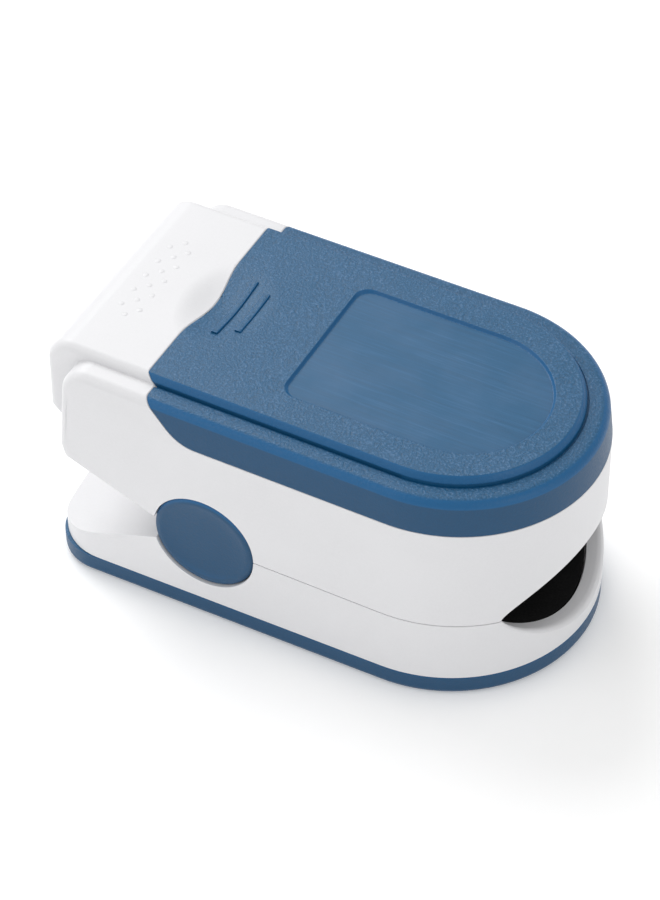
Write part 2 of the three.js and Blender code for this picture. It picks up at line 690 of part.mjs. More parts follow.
function contactPositive() {
  const strip = block(-25.8, CELL_REAR_X - 0.25, -CELL_Y - 1.2, -CELL_Y + 1.2, CELL_Z - 1.2, CELL_Z + 1.2);
  return join(contactPlate(CONTACT_REAR_X, -9.5, -1.2), strip);
}

function contactNegative() {
  const plateBody = contactPlate(CONTACT_REAR_X, 1.2, 9.5);
  return join(plateBody, contactSpring(CONTACT_REAR_X + CONTACT_THICK, CELL_REAR_X - 0.35, CELL_Y));
}

function contactBridge() {
  const plateBody = contactPlate(CONTACT_FRONT_X, -8, 8);
  const endX = CELL_REAR_X + CELL_LENGTH;
  const stripX = [endX + 0.2, CONTACT_FRONT_X + 0.1];
  const strip = block(...stripX, CELL_Y - 1.2, CELL_Y + 1.2, CELL_Z - 1.2, CELL_Z + 1.2);
  return join(plateBody, strip, contactSpring(CONTACT_FRONT_X, endX + 0.35, -CELL_Y));
}

add(batteryHalf, 'battery_half_shell', batteryShell(), 'white');
add(batteryHalf, 'upper_bed_frame', bedFrame(), 'white');
add(batteryHalf, 'upper_finger_pad', upperPad(), 'black');
add(batteryHalf, 'photodiode', block(SENSOR_X - 1.4, SENSOR_X + 1.4, -1.4, 1.4, 16.65, 17.1), 'part');
add(batteryHalf, 'photodiode_window', post(SENSOR_X, 0, 2.4, 16.15, 16.55, 20), 'clear');
add(batteryHalf, 'battery_cell_left', cell(CELL_Y, false), 'label');
add(batteryHalf, 'battery_cell_right', cell(-CELL_Y, true), 'label');
add(batteryHalf, 'contact_positive', contactPositive(), 'steel');
add(batteryHalf, 'contact_negative', contactNegative(), 'steel');
add(batteryHalf, 'contact_bridge', contactBridge(), 'steel');
BED_SCREWS.forEach(([x, y], i) => {
  add(batteryHalf, `bed_screw_${i + 1}`, screw(x, y, TRAY_TOP_Z + FIT, 15), 'steel');
});

// ---------------------------------------------------------------- battery cover
const RECESS_DEPTH = 0.3;
const RECESS_REAR_X = -3.6;
const RECESS_HALF_W = 9.5;
const RECESS_CORNER = 1.7;

function labelRecess() {
  const front = PLATEAU_Z + 1;
  const outline = [
    ...arc(ARC_X + 1, 0, RECESS_HALF_W, -90, 90, 20),
    ...arc(RECESS_REAR_X + RECESS_CORNER, RECESS_HALF_W - RECESS_CORNER, RECESS_CORNER, 90, 180, 4),
    ...arc(RECESS_REAR_X + RECESS_CORNER, RECESS_CORNER - RECESS_HALF_W, RECESS_CORNER, 180, 270, 4),
  ];
  return plate(outline, PLATEAU_Z - RECESS_DEPTH, front);
}

// Raised thumb rib across the cover, round on top.
function thumbRib(x, half) {
  const section = [...arc(0, 0, 0.5, 0, 180, 6), [-0.5, -0.8], [0.5, -0.8]];
  return across(section.map(([px, pz]) => [x + px, PLATEAU_Z - 0.45 + pz]), -half, half);
}

function batteryCover() {
  const ceiling = PLATEAU_Z - 1.3;
  const outside = form.intersect(across(coverSide(0), -HALF_W - 1, HALF_W + 1));
  const underShelf = planBlock([[1.6, SKIRT_Z - 1], [1.6, SHELF_Z - 1.1]], -30, 0.5);
  const underPlateau = planBlock([[0, SKIRT_Z], [0, ceiling]], -30, 0.5, HALF_W - PLATEAU_INSET - 1);
  const ribs = join(thumbRib(-13.6, 4.4), thumbRib(-11.35, 3.15));
  const rails = bothSides((side) => {
    const y = side * 15.4;
    return block(-9, 8, y - 0.5, y + 0.5, SKIRT_Z + 0.1, 25.85);
  });
  const skin = cut(outside, underShelf, underPlateau, labelRecess(), thumbHollow());
  return join(skin, ribs, rails);
}

add(batteryHalf, 'battery_cover', batteryCover(), 'blue');

// ---------------------------------------------------------------- assembly
// The battery half is drawn level and then turned nose-down about the hinge pin.
batteryHalf.position.set(-HINGE_X, 0, -HINGE_Z);
const batteryTurn = new THREE.Group();
batteryTurn.position.set(HINGE_X, 0, HINGE_Z);
batteryTurn.rotation.y = NOSE_DOWN;
batteryTurn.add(batteryHalf);

const oximeter = new THREE.Group();
oximeter.position.x = -(FRONT_X + REAR_X) / 2; // centres the length on the origin
oximeter.add(displayHalf, batteryTurn);

export default oximeter;
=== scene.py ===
"""Fingertip pulse oximeter: the looks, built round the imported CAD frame.

Forms are modelled in millimetres, with +X to the finger opening and Z up.
They are scaled to metres at the end.
The battery half and its cover are modelled level, then tipped nose down about the hinge.
"""

import math

import bmesh
import bpy
from mathutils import Matrix, Vector


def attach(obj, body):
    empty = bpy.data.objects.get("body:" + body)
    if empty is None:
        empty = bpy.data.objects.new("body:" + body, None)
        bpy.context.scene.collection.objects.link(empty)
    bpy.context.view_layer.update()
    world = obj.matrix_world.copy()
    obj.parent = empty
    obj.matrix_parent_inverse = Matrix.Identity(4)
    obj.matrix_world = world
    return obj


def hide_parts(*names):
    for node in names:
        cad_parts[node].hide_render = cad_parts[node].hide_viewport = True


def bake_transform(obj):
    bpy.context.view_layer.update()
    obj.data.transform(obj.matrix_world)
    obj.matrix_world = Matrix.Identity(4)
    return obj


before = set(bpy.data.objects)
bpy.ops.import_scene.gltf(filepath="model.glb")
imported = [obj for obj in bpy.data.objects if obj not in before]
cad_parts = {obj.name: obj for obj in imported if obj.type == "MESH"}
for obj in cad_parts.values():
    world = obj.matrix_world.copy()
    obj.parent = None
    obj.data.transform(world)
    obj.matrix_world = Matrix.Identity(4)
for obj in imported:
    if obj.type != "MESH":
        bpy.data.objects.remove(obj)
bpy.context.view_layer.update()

# ---------------------------------------------------------------- dimensions, as in the CAD
MM = 0.001
HALF_W = 17.0
FRONT_X = 29.5
REAR_X = -30.5
ARC_X = FRONT_X - HALF_W
REAR_CORNER = 5.5
REAR_BOW = 75.0  # plan radius of the display half's rear edge
STRAIGHT = 5000.0  # plan radius of a rear edge that is straight in effect
CENTRING = 0.5  # moves the drawn parts so that the length is centred on the origin
HINGE_X = -9.0
HINGE_Z = 11.4
NOSE_DOWN = math.radians(1.2)
FACE_PLATE_TOP = 2.6
RAMP_REAR_Z = 3.75
CHEEK_RISE = math.tan(math.radians(19.7))
CHEEK_REAR_X = -27.1
CHEEK_REAR_Z = 16.9
CHEEK_CORNER = 3.0
SKIRT_Z = 24.8
SHELF_Z = 29.1
PLATEAU_Z = 30.2
PLATEAU_INSET = 3.25
CAP_REAR_X = -29.8
CAP_CORNER = 3.2
CAP_BOTTOM_Z = 19.5
SEAM_X = -16.75
SEAM_RADIUS = 5.0
SKIRT_START_X = -9.8
WALL = 1.8
GAP = 0.15
RUN = 0.3
FIT = 0.1
MOUTH_HALF_W = 11.8
MOUTH_Z = 10.8
MOUTH_DEPTH = 5.8
MOUTH_RISE = 4.9
MOUTH_POINT = 1.4  # 1 gives an ellipse, more gives pointed corners
CHANNEL_REAR_X = -3.4
SENSOR_X = 10.0
BARREL_R = 3.9
PIN_R = 1.0
LUG_R = 3.0
LUG_THICK = 2.0
LOWER_LUG_Y = 11.7
CAP_R = 6.1
CAP_HOLE_R = CAP_R + 0.1
CAP_INNER_Y = 14.6
CAP_OUTER_Y = 16.9
CAP_ROUND = 0.75  # width of the cap's rounded rim
CAP_FALL = 0.38  # how far that rim falls back
CAP_DISH = 0.3
JACKET_MIDDLE_X = -1.05
JACKET_BAND_START = 18.5  # distance from there to the lighter band at each end
TRAY_FLOOR_Z = 17.3
TRAY_TOP_Z = 18.0
BUTTON_X = -16.0
BUTTON_R = 3.0
PCB_Z = 2.65
PCB_THICK = 0.7
SHELL_FLOOR_Z = 3.6
THUMB_X = -15.8
THUMB_HALF_X = 6.2
THUMB_HALF_Y = 7.2
THUMB_DEPTH = 0.72

FRONT_STEPS = 72
CORNER_STEPS = 12
BOW_STEPS = 16
ROUND_STEPS = 72
EDGE = 0.09  # rounding of a moulded edge
MIN_CORNER = 0.3
SEAM = 0.04  # gap at a visible joint line

HINGE = Vector((HINGE_X, 0, HINGE_Z))
TURN = Matrix.Translation(HINGE) @ Matrix.Rotation(NOSE_DOWN, 4, "Y") @ Matrix.Translation(-HINGE)


# ---------------------------------------------------------------- outlines
def arc(x, y, radius, start, end, steps):
    """Points of a circular arc, angles in degrees."""
    angles = [math.radians(start + (end - start) * i / steps) for i in range(steps + 1)]
    return [(x + radius * math.cos(a), y + radius * math.sin(a)) for a in angles]


def quarter_turn(steps):
    """Angles from 0 to 90 degrees in equal steps, in radians."""
    return [math.pi / 2 * i / steps for i in range(steps + 1)]


def plan_outline(half, rear, corner, bow):
    """Straight sides, a semicircular front and a bowed rear edge that runs into its corners."""
    corner_y = half - corner
    corner_x = rear + bow - math.sqrt((bow - corner) ** 2 - corner_y**2)
    meeting = 180 - math.degrees(math.asin(corner_y / (bow - corner)))
    return (
        arc(ARC_X, 0, half, -90, 90, FRONT_STEPS)
        + arc(corner_x, corner_y, corner, 90, meeting, CORNER_STEPS)
        + arc(rear + bow, 0, bow, meeting, 360 - meeting, BOW_STEPS)[1:-1]
        + arc(corner_x, -corner_y, corner, 360 - meeting, 270, CORNER_STEPS)
    )


def rounded_rectangle(x0, x1, half, corner, steps=8):
    return (
        arc(x1 - corner, half - corner, corner, 0, 90, steps)
        + arc(x0 + corner, half - corner, corner, 90, 180, steps)
        + arc(x0 + corner, corner - half, corner, 180, 270, steps)
        + arc(x1 - corner, corner - half, corner, 270, 360, steps)
    )


def parting_z(x):
    """Height of the line between the two halves."""
    return HINGE_Z - (x - HINGE_X) * math.tan(NOSE_DOWN)


def cheek_z(x):
    """Height of the underside of the battery half behind the hinge."""
    return CHEEK_REAR_Z - (x - CHEEK_REAR_X) * CHEEK_RISE


# ---------------------------------------------------------------- solids
def form_of(verts, faces):
    """A closed mesh object, its faces turned outwards."""
    mesh = bpy.data.meshes.new("form")
    mesh.from_pydata(verts, [], faces)
    work = bmesh.new()
    work.from_mesh(mesh)
    bmesh.ops.remove_doubles(work, verts=work.verts, dist=1e-5)
    bmesh.ops.recalc_face_normals(work, faces=work.faces)
    work.to_mesh(mesh)
    work.free()
    made = bpy.data.objects.new("form", mesh)
    bpy.context.scene.collection.objects.link(made)
    return made


def loft(rings):
    """A solid through rings of equally many points, flat at both ends."""
    count = len(rings[0])
    faces = [tuple(reversed(range(count)))]
    for level in range(len(rings) - 1):
        low = level * count
        high = low + count
        for i in range(count):
            j = (i + 1) % count
            faces.append((low + i, low + j, high + j, high + i))
    last = (len(rings) - 1) * count
    faces.append(tuple(range(last, last + count)))
    return form_of([p for ring in rings for p in ring], faces)


def lathe(profile, steps=ROUND_STEPS):
    """A body turned round Z, from (radius, z) pairs that run from pole to pole."""
    verts = []
    rings = []
    for radius, z in profile:
        if radius < 1e-6:
            rings.append([len(verts)] * steps)
            verts.append((0, 0, z))
            continue
        rings.append(list(range(len(verts), len(verts) + steps)))
        verts += [(x, y, z) for x, y in arc(0, 0, radius, 0, 360, steps)[:-1]]
    faces = []
    for low, high in zip(rings, rings[1:]):
        for i in range(steps):
            j = (i + 1) % steps
            corners = list(dict.fromkeys((low[i], low[j], high[j], high[i])))
            faces.append(tuple(corners))
    return form_of(verts, faces)


def moved(form, matrix):
    form.data.transform(matrix)
    return form


def plan_block(profile, rear, corner, half=HALF_W, bow=STRAIGHT):
    """A body with the plan outline, from (inset, z) pairs that run upwards."""
    rings = []
    for inset, z in profile:
        outline = plan_outline(half - inset, rear + inset, max(corner - inset, MIN_CORNER), bow - inset)
        rings.append([(x, y, z) for x, y in outline])
    return loft(rings)


def display_block(profile):
    """A body with the display half's plan outline."""
    return plan_block(profile, REAR_X, REAR_CORNER, bow=REAR_BOW)


def plate(points, z0, z1):
    return loft([[(x, y, z) for x, y in points] for z in (z0, z1)])


def across(points, y0, y1):
    """A side view in x and z, extended across the body."""
    return loft([[(x, y, z) for x, z in points] for y in (y0, y1)])


def along(points, x0, x1):
    """A front view in y and z, extended along the body."""
    return loft([[(x, y, z) for y, z in points] for x in (x0, x1)])


def block(x0, x1, y0, y1, z0, z1):
    return plate([(x0, y0), (x1, y0), (x1, y1), (x0, y1)], z0, z1)


def disc(x, z, radius, y0, y1, steps=ROUND_STEPS):
    return across(arc(x, z, radius, 0, 360, steps)[:-1], y0, y1)


def side_disc(side, x, z, radius, y0, y1, steps=ROUND_STEPS):
    low, high = sorted((side * y0, side * y1))
    return disc(x, z, radius, low, high, steps)


def post(x, y, radius, z0, z1, steps=36):
    return plate(arc(x, y, radius, 0, 360, steps)[:-1], z0, z1)


def channel(half, z, down, up, x0, x1):
    """Round finger channel: an ellipse with separate upper and lower heights."""
    section = arc(0, 0, 1, 0, 360, ROUND_STEPS)[:-1]
    return along([(y * half, z + h * (up if h > 0 else down)) for y, h in section], x0, x1)


LIP = ((0.9, 0.0), (0.45, 0.08), (0.18, 0.25), (0.04, 0.45), (-0.2, 0.75), (-2.0, 0.75))


def lipped_mouth(z, down, up):
    """Cutter for the finger opening: a pointed oval that flares out where it meets the curved front."""
    rings = []
    for setback, growth in [(None, 0.0), *LIP]:
        ring = []
        for turn in range(ROUND_STEPS):
            angle = 2 * math.pi * turn / ROUND_STEPS
            y = (MOUTH_HALF_W + growth) * math.cos(angle)
            h = math.copysign(abs(math.sin(angle)) ** MOUTH_POINT, math.sin(angle))
            x = 15.0 if setback is None else ARC_X + math.sqrt(HALF_W**2 - y**2) - setback
            ring.append((x, y, z + h * ((up if h > 0 else down) + growth)))
        rings.append(ring)
    return loft(rings)


def applied(form):
    """The form with its modifiers worked into its mesh."""
    graph = bpy.context.evaluated_depsgraph_get()
    mesh = bpy.data.meshes.new_from_object(form.evaluated_get(graph))
    form.modifiers.clear()
    old = form.data
    form.data = mesh
    bpy.data.meshes.remove(old)
    return form


def combined(form, tool, operation):
    modifier = form.modifiers.new("combine", "BOOLEAN")
    modifier.operation = operation
    modifier.solver = "MANIFOLD"
    modifier.object = tool
    applied(form)
    bpy.data.objects.remove(tool)
    return form


def join(form, *others):
    for other in others:
        combined(form, other, "UNION")
    return form


def cut(form, *tools):
    for tool in tools:
        combined(form, tool, "DIFFERENCE")
    return form


def meet(form, other):
    return combined(form, other, "INTERSECT")


def both_sides(make):
    return join(make(1), make(-1))


def rounded(form, width=EDGE, segments=2, angle=38):
    """The form cleaned of needless edges, with its sharp edges rounded."""
    work = bmesh.new()
    work.from_mesh(form.data)
    bmesh.ops.remove_doubles(work, verts=work.verts, dist=0.004)
    bmesh.ops.dissolve_limit(work, angle_limit=math.radians(0.4), verts=work.verts, edges=work.edges)
    work.to_mesh(form.data)
    work.free()
    modifier = form.modifiers.new("edges", "BEVEL")
    modifier.width = width
    modifier.segments = segments
    modifier.limit_method = "ANGLE"
    modifier.angle_limit = math.radians(angle)
    modifier.use_clamp_overlap = False
    return applied(form)


def smoothed(form, angle=32):
    """Smooth shading that keeps flat faces flat and sharp edges sharp."""
    form.data.shade_smooth()
    form.data.set_sharp_from_angle(angle=math.radians(angle))
    modifier = form.modifiers.new("normals", "WEIGHTED_NORMAL")
    modifier.keep_sharp = True
    return applied(form)


def finished(form, name, materials, level=False):
    """Names, turns, scales and shades a form, and gives it its materials."""
    if level:
        form.data.transform(TURN)
    form.data.transform(Matrix.Scale(MM, 4) @ Matrix.Translation((CENTRING, 0, 0)))
    smoothed(form)
    form.name = name
    form.data.name = name
    form.data.materials.clear()
    for material in materials:
        form.data.materials.append(material)
    form.data.polygons.foreach_set("material_index", [0] * len(form.data.polygons))
    return form


# ---------------------------------------------------------------- materials
class Shader:
    """A Principled material with short calls for the patterns that drive it. Sizes in millimetres."""

    def __init__(self, name, **sockets):
        self.material = bpy.data.materials.new(name)
        self.material.use_nodes = True
        self.tree = self.material.node_tree
        self.surface = next(n for n in self.tree.nodes if n.type == "BSDF_PRINCIPLED")
        for label, value in sockets.items():
            self.surface.inputs[label.replace("_", " ")].default_value = value
        self.place = self.add("ShaderNodeTexCoord").outputs["Object"]

    def add(self, kind, links=(), **settings):
        node = self.tree.nodes.new(kind)
        for label, value in settings.items():
            setattr(node, label, value)
        for socket, source in links:
            self.put(node.inputs[socket], source)
        return node

    def put(self, socket, source):
        if isinstance(source, bpy.types.NodeSocket):
            self.tree.links.new(source, socket)
        else:
            socket.default_value = source

    def noise(self, size, detail=2.0, stretch=(1, 1, 1), roughness=0.5):
        """Noise from 0 to 1 with features of that size, drawn out along an axis by stretch."""
        scale = [1 / (size * MM * s) for s in stretch]
        mapped = self.add("ShaderNodeMapping", [("Vector", self.place), ("Scale", scale)])
        shape = [("Scale", 1.0), ("Detail", detail), ("Roughness", roughness)]
        return self.add("ShaderNodeTexNoise", [("Vector", mapped.outputs[0]), *shape]).outputs[0]

    def span(self, value, low, high, start=0.3, end=0.7):
        """The value rescaled from start..end to low..high."""
        limits = [("From Min", start), ("From Max", end), ("To Min", low), ("To Max", high)]
        return self.add("ShaderNodeMapRange", [("Value", value), *limits]).outputs[0]

    def math(self, operation, a, b=0.0):
        return self.add("ShaderNodeMath", [(0, a), (1, b)], operation=operation).outputs[0]

    def mix(self, factor, a, b):
        node = self.add("ShaderNodeMix", data_type="RGBA")
        self.put(node.inputs["Factor"], factor)
        self.put(node.inputs[6], a)
        self.put(node.inputs[7], b)
        return node.outputs[2]

    def edges(self, radius=0.3):
        """Near 1 along rounded edges and 0 on open surfaces; it places the painted highlights on rounded
        edges.
        """
        soft = self.add("ShaderNodeBevel", [("Radius", radius * MM)], samples=4).outputs[0]
        true = self.add("ShaderNodeNewGeometry").outputs["Normal"]
        dot = self.add("ShaderNodeVectorMath", [(0, soft), (1, true)], operation="DOT_PRODUCT")
        return self.span(dot.outputs["Value"], 1.0, 0.0, 0.86, 0.995)

    def bump(self, height, depth):
        node = self.add("ShaderNodeBump", [("Height", height), ("Distance", depth * MM)])
        self.put(self.surface.inputs["Normal"], node.outputs[0])

    def colour(self, source):
        self.put(self.surface.inputs["Base Color"], source)

    def rough(self, source):
        self.put(self.surface.inputs["Roughness"], source)


def rgb(red, green, blue):
    """Linear colour with alpha from 0 to 255 display values."""
    def linear(value):
        share = value / 255
        return share / 12.92 if share <= 0.04045 else ((share + 0.055) / 1.055) ** 2.4
    return (linear(red), linear(green), linear(blue), 1.0)


def shaded(colour, factor):
    return tuple(c * factor for c in colour[:3]) + (1.0,)


WHITE = rgb(216, 216, 218)
BLUE = (0.010, 0.090, 0.198, 1.0)
# Painted shade: a darker copy of the blue for steep walls.
SHADED_WALL_BLUE = (0.001, 0.054, 0.134, 1.0)
# Painted highlight: a brighter copy of the blue for rims and rounded edges.
RIM_HIGHLIGHT_BLUE = (0.001, 0.092, 0.240, 1.0)
# Painted highlight: a pale colour mixed into the blue top as glints and sheen.
PAINTED_GLINT = (0.15, 0.23, 0.38, 1.0)


def blue_surface(name, satin):
    """Blue plastic, told apart by tilt: grained or satin top with painted glints and sheen, rims and
    rounded edges lighter as a painted highlight, smoother walls darker as painted shade.
    """
    shader = Shader(name, Specular_IOR_Level=0.42)
    facing = shader.add("ShaderNodeTexCoord").outputs["Normal"]
    tilt = shader.add("ShaderNodeSeparateXYZ", [("Vector", facing)]).outputs[2]
    fine = shader.noise(0.27, detail=2.0, roughness=0.7)
    drift = shader.noise(6.0, detail=3.0)
    if satin:
        grain = shader.noise(0.30, detail=4.0, stretch=(30, 1, 1), roughness=0.65)
        low, high, glint, sheen_haze, depth = 0.88, 1.12, 0.10, 0.12, 0.008
    else:
        grain = fine
        low, high, glint, sheen_haze, depth = 0.72, 1.22, 0.45, 0.05, 0.08
    tone = shader.mix(shader.span(grain, 0, 1), shaded(BLUE, low), shaded(BLUE, high))
    # Painted glints: the lightest grain spots are mixed towards the pale glint colour.
    top = shader.mix(shader.span(grain, 0, glint, 0.55, 0.72), tone, PAINTED_GLINT)
    # Painted sheen: a pale haze in broad random patches.
    top = shader.mix(shader.span(drift, 0, sheen_haze, 0.4, 0.75), top, PAINTED_GLINT)
    # Painted shade: steep walls get the darker copy of the blue, with fine tone variation.
    wall = shader.mix(shader.span(fine, 0, 1), shaded(SHADED_WALL_BLUE, 0.94), shaded(SHADED_WALL_BLUE, 1.08))
    # Painted highlight: faces between wall and top get the brighter blue.
    rim = shader.mix(shader.span(tilt, 0, 1, 0.12, 0.35), wall, RIM_HIGHLIGHT_BLUE)
    body = shader.mix(shader.span(tilt, 0, 1, 0.88, 0.97), rim, top)
    # Painted highlight: rounded edges are lightened towards the brighter blue.
    shader.colour(shader.mix(shader.math("MULTIPLY", shader.edges(0.2), 0.5), body, RIM_HIGHLIGHT_BLUE))
    shader.rough(shader.span(grain, 0.36, 0.50))
    shader.bump(shader.math("MULTIPLY", grain, shader.span(tilt, 0.3, 1, 0.3, 0.95)), depth)
    return shader.material


def blue_plastic():
    """The cover, face plate and hinge caps: spark-eroded grain on the upward faces, with painted glints on
    it.
    """
    return blue_surface("blue_plastic", satin=False)


def blue_satin():
    """Floor of the label recess: polished along the body, with painted sheen along the streaks and in pale
    patches.
    """
    return blue_surface("blue_satin", satin=True)


def white_plastic():
    """Moulded white plastic: very fine grain, faint drift in tone, and a painted highlight on rounded
    edges.
    """
    shader = Shader("white_plastic")
    fine = shader.noise(0.30, detail=3.0, roughness=0.6)
    drift = shader.noise(9.0, detail=2.0)
    tone = shader.mix(shader.span(fine, 0, 1, 0.35, 0.65), shaded(WHITE, 0.988), shaded(WHITE, 1.012))
    tone = shader.mix(shader.span(drift, 0, 0.5), tone, shaded(WHITE, 1.04))
    # Painted highlight: rounded edges are lightened.
    shader.colour(shader.mix(shader.math("MULTIPLY", shader.edges(), 0.6), tone, shaded(WHITE, 1.03)))
    shader.rough(shader.span(fine, 0.36, 0.48))
    shader.bump(fine, 0.006)
    return shader.material


def black_rubber():
    shader = Shader("black_rubber", Specular_IOR_Level=0.2)
    fine = shader.noise(0.25, detail=3.0)
    cloud = shader.noise(4.0)
    shader.colour(shader.mix(cloud, (0.002, 0.002, 0.0022, 1), (0.004, 0.004, 0.0044, 1)))
    shader.rough(shader.span(fine, 0.6, 0.8))
    shader.bump(fine, 0.012)
    return shader.material


def smoked_window():
    shader = Shader("smoked_window", Coat_Weight=0.5, Coat_Roughness=0.04)
    smear = shader.noise(6.0, detail=4.0, stretch=(1, 2.5, 1))
    shader.colour(shader.mix(smear, (0.008, 0.008, 0.010, 1), (0.016, 0.016, 0.019, 1)))
    shader.rough(shader.span(smear, 0.05, 0.16))
    shader.bump(shader.noise(2.5), 0.003)
    return shader.material


def clear_window():
    shader = Shader("clear_window", Transmission_Weight=0.35, IOR=1.49)
    cloud = shader.noise(1.6, detail=2.0)
    shader.colour(shader.mix(cloud, (0.62, 0.66, 0.68, 1), (0.74, 0.77, 0.78, 1)))
    shader.rough(shader.span(cloud, 0.08, 0.2))
    shader.bump(cloud, 0.004)
    return shader.material


def circuit_board():
    """Green solder mask with raised copper traces under it and a few bare pads."""
    shader = Shader("circuit_board")
    mapped = shader.add("ShaderNodeMapping", [("Vector", shader.place), ("Scale", (700, 700, 1))])
    links = [("Vector", mapped.outputs[0]), ("Scale", 1.0)]
    cells = shader.add("ShaderNodeTexVoronoi", links, feature="DISTANCE_TO_EDGE")
    trace = shader.span(cells.outputs["Distance"], 1.0, 0.0, 0.04, 0.09)
    weave = shader.noise(0.35, detail=2.0)
    mask = shader.mix(weave, rgb(18, 74, 44), rgb(24, 88, 52))
    shader.colour(shader.mix(trace, mask, rgb(46, 122, 72)))
    shader.rough(shader.span(weave, 0.28, 0.42))
    shader.bump(trace, 0.03)
    return shader.material


def dark_component():
    shader = Shader("dark_component")
    fine = shader.noise(0.2, detail=3.0)
    shader.colour(shader.mix(fine, rgb(30, 30, 33), rgb(46, 46, 50)))
    shader.rough(shader.span(fine, 0.4, 0.6))
    shader.bump(fine, 0.01)
    return shader.material


def steel():
    shader = Shader("steel", Metallic=1.0)
    drawn = shader.noise(0.25, detail=3.0, stretch=(1, 10, 1))
    cloud = shader.noise(2.0)
    shader.colour(shader.mix(cloud, rgb(176, 178, 182), rgb(208, 210, 213)))
    shader.rough(shader.span(drawn, 0.2, 0.36))
    shader.bump(drawn, 0.004)
    return shader.material


def cell_jacket():
    """Foil jacket of a plain cell: graphite with a lighter band round each end."""
    shader = Shader("cell_jacket", Coat_Weight=0.3, Coat_Roughness=0.15)
    along_x = shader.add("ShaderNodeSeparateXYZ", [("Vector", shader.place)]).outputs[0]
    from_middle = shader.math("ABSOLUTE", shader.math("SUBTRACT", along_x, JACKET_MIDDLE_X * MM))
    band = shader.math("GREATER_THAN", from_middle, JACKET_BAND_START * MM)
    fine = shader.noise(0.3, detail=3.0)
    dark = shader.mix(fine, rgb(52, 60, 70), rgb(62, 70, 82))
    shader.colour(shader.mix(band, dark, rgb(150, 158, 168)))
    shader.rough(shader.span(fine, 0.28, 0.4))
    shader.bump(shader.noise(1.2), 0.01)
    return shader.material


def button_plastic():
    shader = Shader("button_plastic", Metallic=0.7)
    flake = shader.noise(0.12, detail=2.0)
    shader.colour(shader.mix(flake, rgb(168, 172, 176), rgb(206, 209, 212)))
    shader.rough(shader.span(flake, 0.28, 0.42))
    shader.bump(flake, 0.004)
    return shader.material


def flex_film():
    """Amber film with copper tracks along the ribbon."""
    shader = Shader("flex_film", Coat_Weight=0.4, Coat_Roughness=0.1)
    placing = [("Vector", shader.place), ("Scale", 620.0)]
    track = shader.add("ShaderNodeTexWave", placing, bands_direction="Y")
    fine = shader.noise(0.8)
    amber = shader.mix(fine, rgb(170, 96, 22), rgb(192, 116, 34))
    shader.colour(shader.mix(shader.span(track.outputs[1], 0, 0.8, 0.5, 0.6), amber, rgb(206, 138, 74)))
    shader.rough(shader.span(fine, 0.22, 0.34))
    shader.bump(track.outputs[1], 0.02)
    return shader.material


FINISH = {
    "white_plastic": white_plastic(),
    "blue_plastic": blue_plastic(),
    "blue_satin": blue_satin(),
    "black_rubber": black_rubber(),
    "smoked_window": smoked_window(),
    "clear_window": clear_window(),
    "circuit_board": circuit_board(),
    "dark_component": dark_component(),
    "steel": steel(),
    "cell_jacket": cell_jacket(),
    "button_plastic": button_plastic(),
    "flex_film": flex_film(),
}


def stand_in(form, name, node, body, slot, level=False, extra=()):
    """A finished piece that rides on a body and replaces one CAD node."""
    finished(form, name, [FINISH[slot], *extra], level)
    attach(form, body)
    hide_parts(node)
    return form


# ---------------------------------------------------------------- shared forms
def barrel():
    """Round clearance along the hinge between the side walls."""
    return disc(HINGE_X, HINGE_Z, BARREL_R, -HALF_W + WALL, HALF_W - WALL)


def cap_holes():
    """Round holes for the two hinge caps."""
    reach = (CAP_INNER_Y - GAP, HALF_W + 1)
    return both_sides(lambda side: side_disc(side, HINGE_X, HINGE_Z, CAP_HOLE_R, *reach, 96))


def cover_side(back):
    """Side view of everything in front of the cover's seam, moved back by that much."""
    bottom = SKIRT_Z - back
    bend = arc(SKIRT_START_X, bottom + SEAM_RADIUS, SEAM_RADIUS, 270, 225, 12)
    run = PLATEAU_Z + 2 - bend[-1][1]
    return [
        (FRONT_X + 2, PLATEAU_Z + 2),
        (bend[-1][0] - run - back, PLATEAU_Z + 2),
        (bend[-1][0] - back, bend[-1][1]),
        *reversed(bend[:-1]),
        (FRONT_X + 2, bottom),
    ]


SKIRT_INSET = 0.25
SHELF_ROUND = 1.2
SHELF_INSET = 0.64  # where the rounding of the shelf's edge starts
SHELF_START_ANGLE = 15


def side_profile():
    """Side wall up to the shelf: slight draft, then a broad rounded edge."""
    turns = [math.radians(SHELF_START_ANGLE + (90 - SHELF_START_ANGLE) * i / 10) for i in range(11)]
    insets = [SHELF_INSET + SHELF_ROUND * (1 - math.cos(a)) for a in turns]
    heights = [SHELF_Z - SHELF_ROUND * (1 - math.sin(a)) for a in turns]
    return [(0, HINGE_Z + SEAM), (SKIRT_INSET, SKIRT_Z), *zip(insets, heights)]


PLATEAU_PROFILE = [
    (0, CAP_BOTTOM_Z),
    (0, PLATEAU_Z - 0.80),
    (0.05, PLATEAU_Z - 0.66),
    (0.34, PLATEAU_Z - 0.20),
    (0.46, PLATEAU_Z - 0.06),
    (0.62, PLATEAU_Z),
]
CHEEK_ROUND = 1.0
CHEEK_LEAN = 0.6  # how far the rear edge of a cheek leans forward at its top
WHITE_CAP_ROUND = 1.0
OUTSIDE = -1.0  # depth of a section outside the wall, so that the wall itself trims the cheeks


def side_draft(z):
    """How far the side wall stands in from the widest plan at that height."""
    if z < SKIRT_Z:
        return SKIRT_INSET * (z - HINGE_Z) / (SKIRT_Z - HINGE_Z)
    return SKIRT_INSET + (SHELF_INSET - SKIRT_INSET) * (z - SKIRT_Z) / (SHELF_Z - 1 - SKIRT_Z)


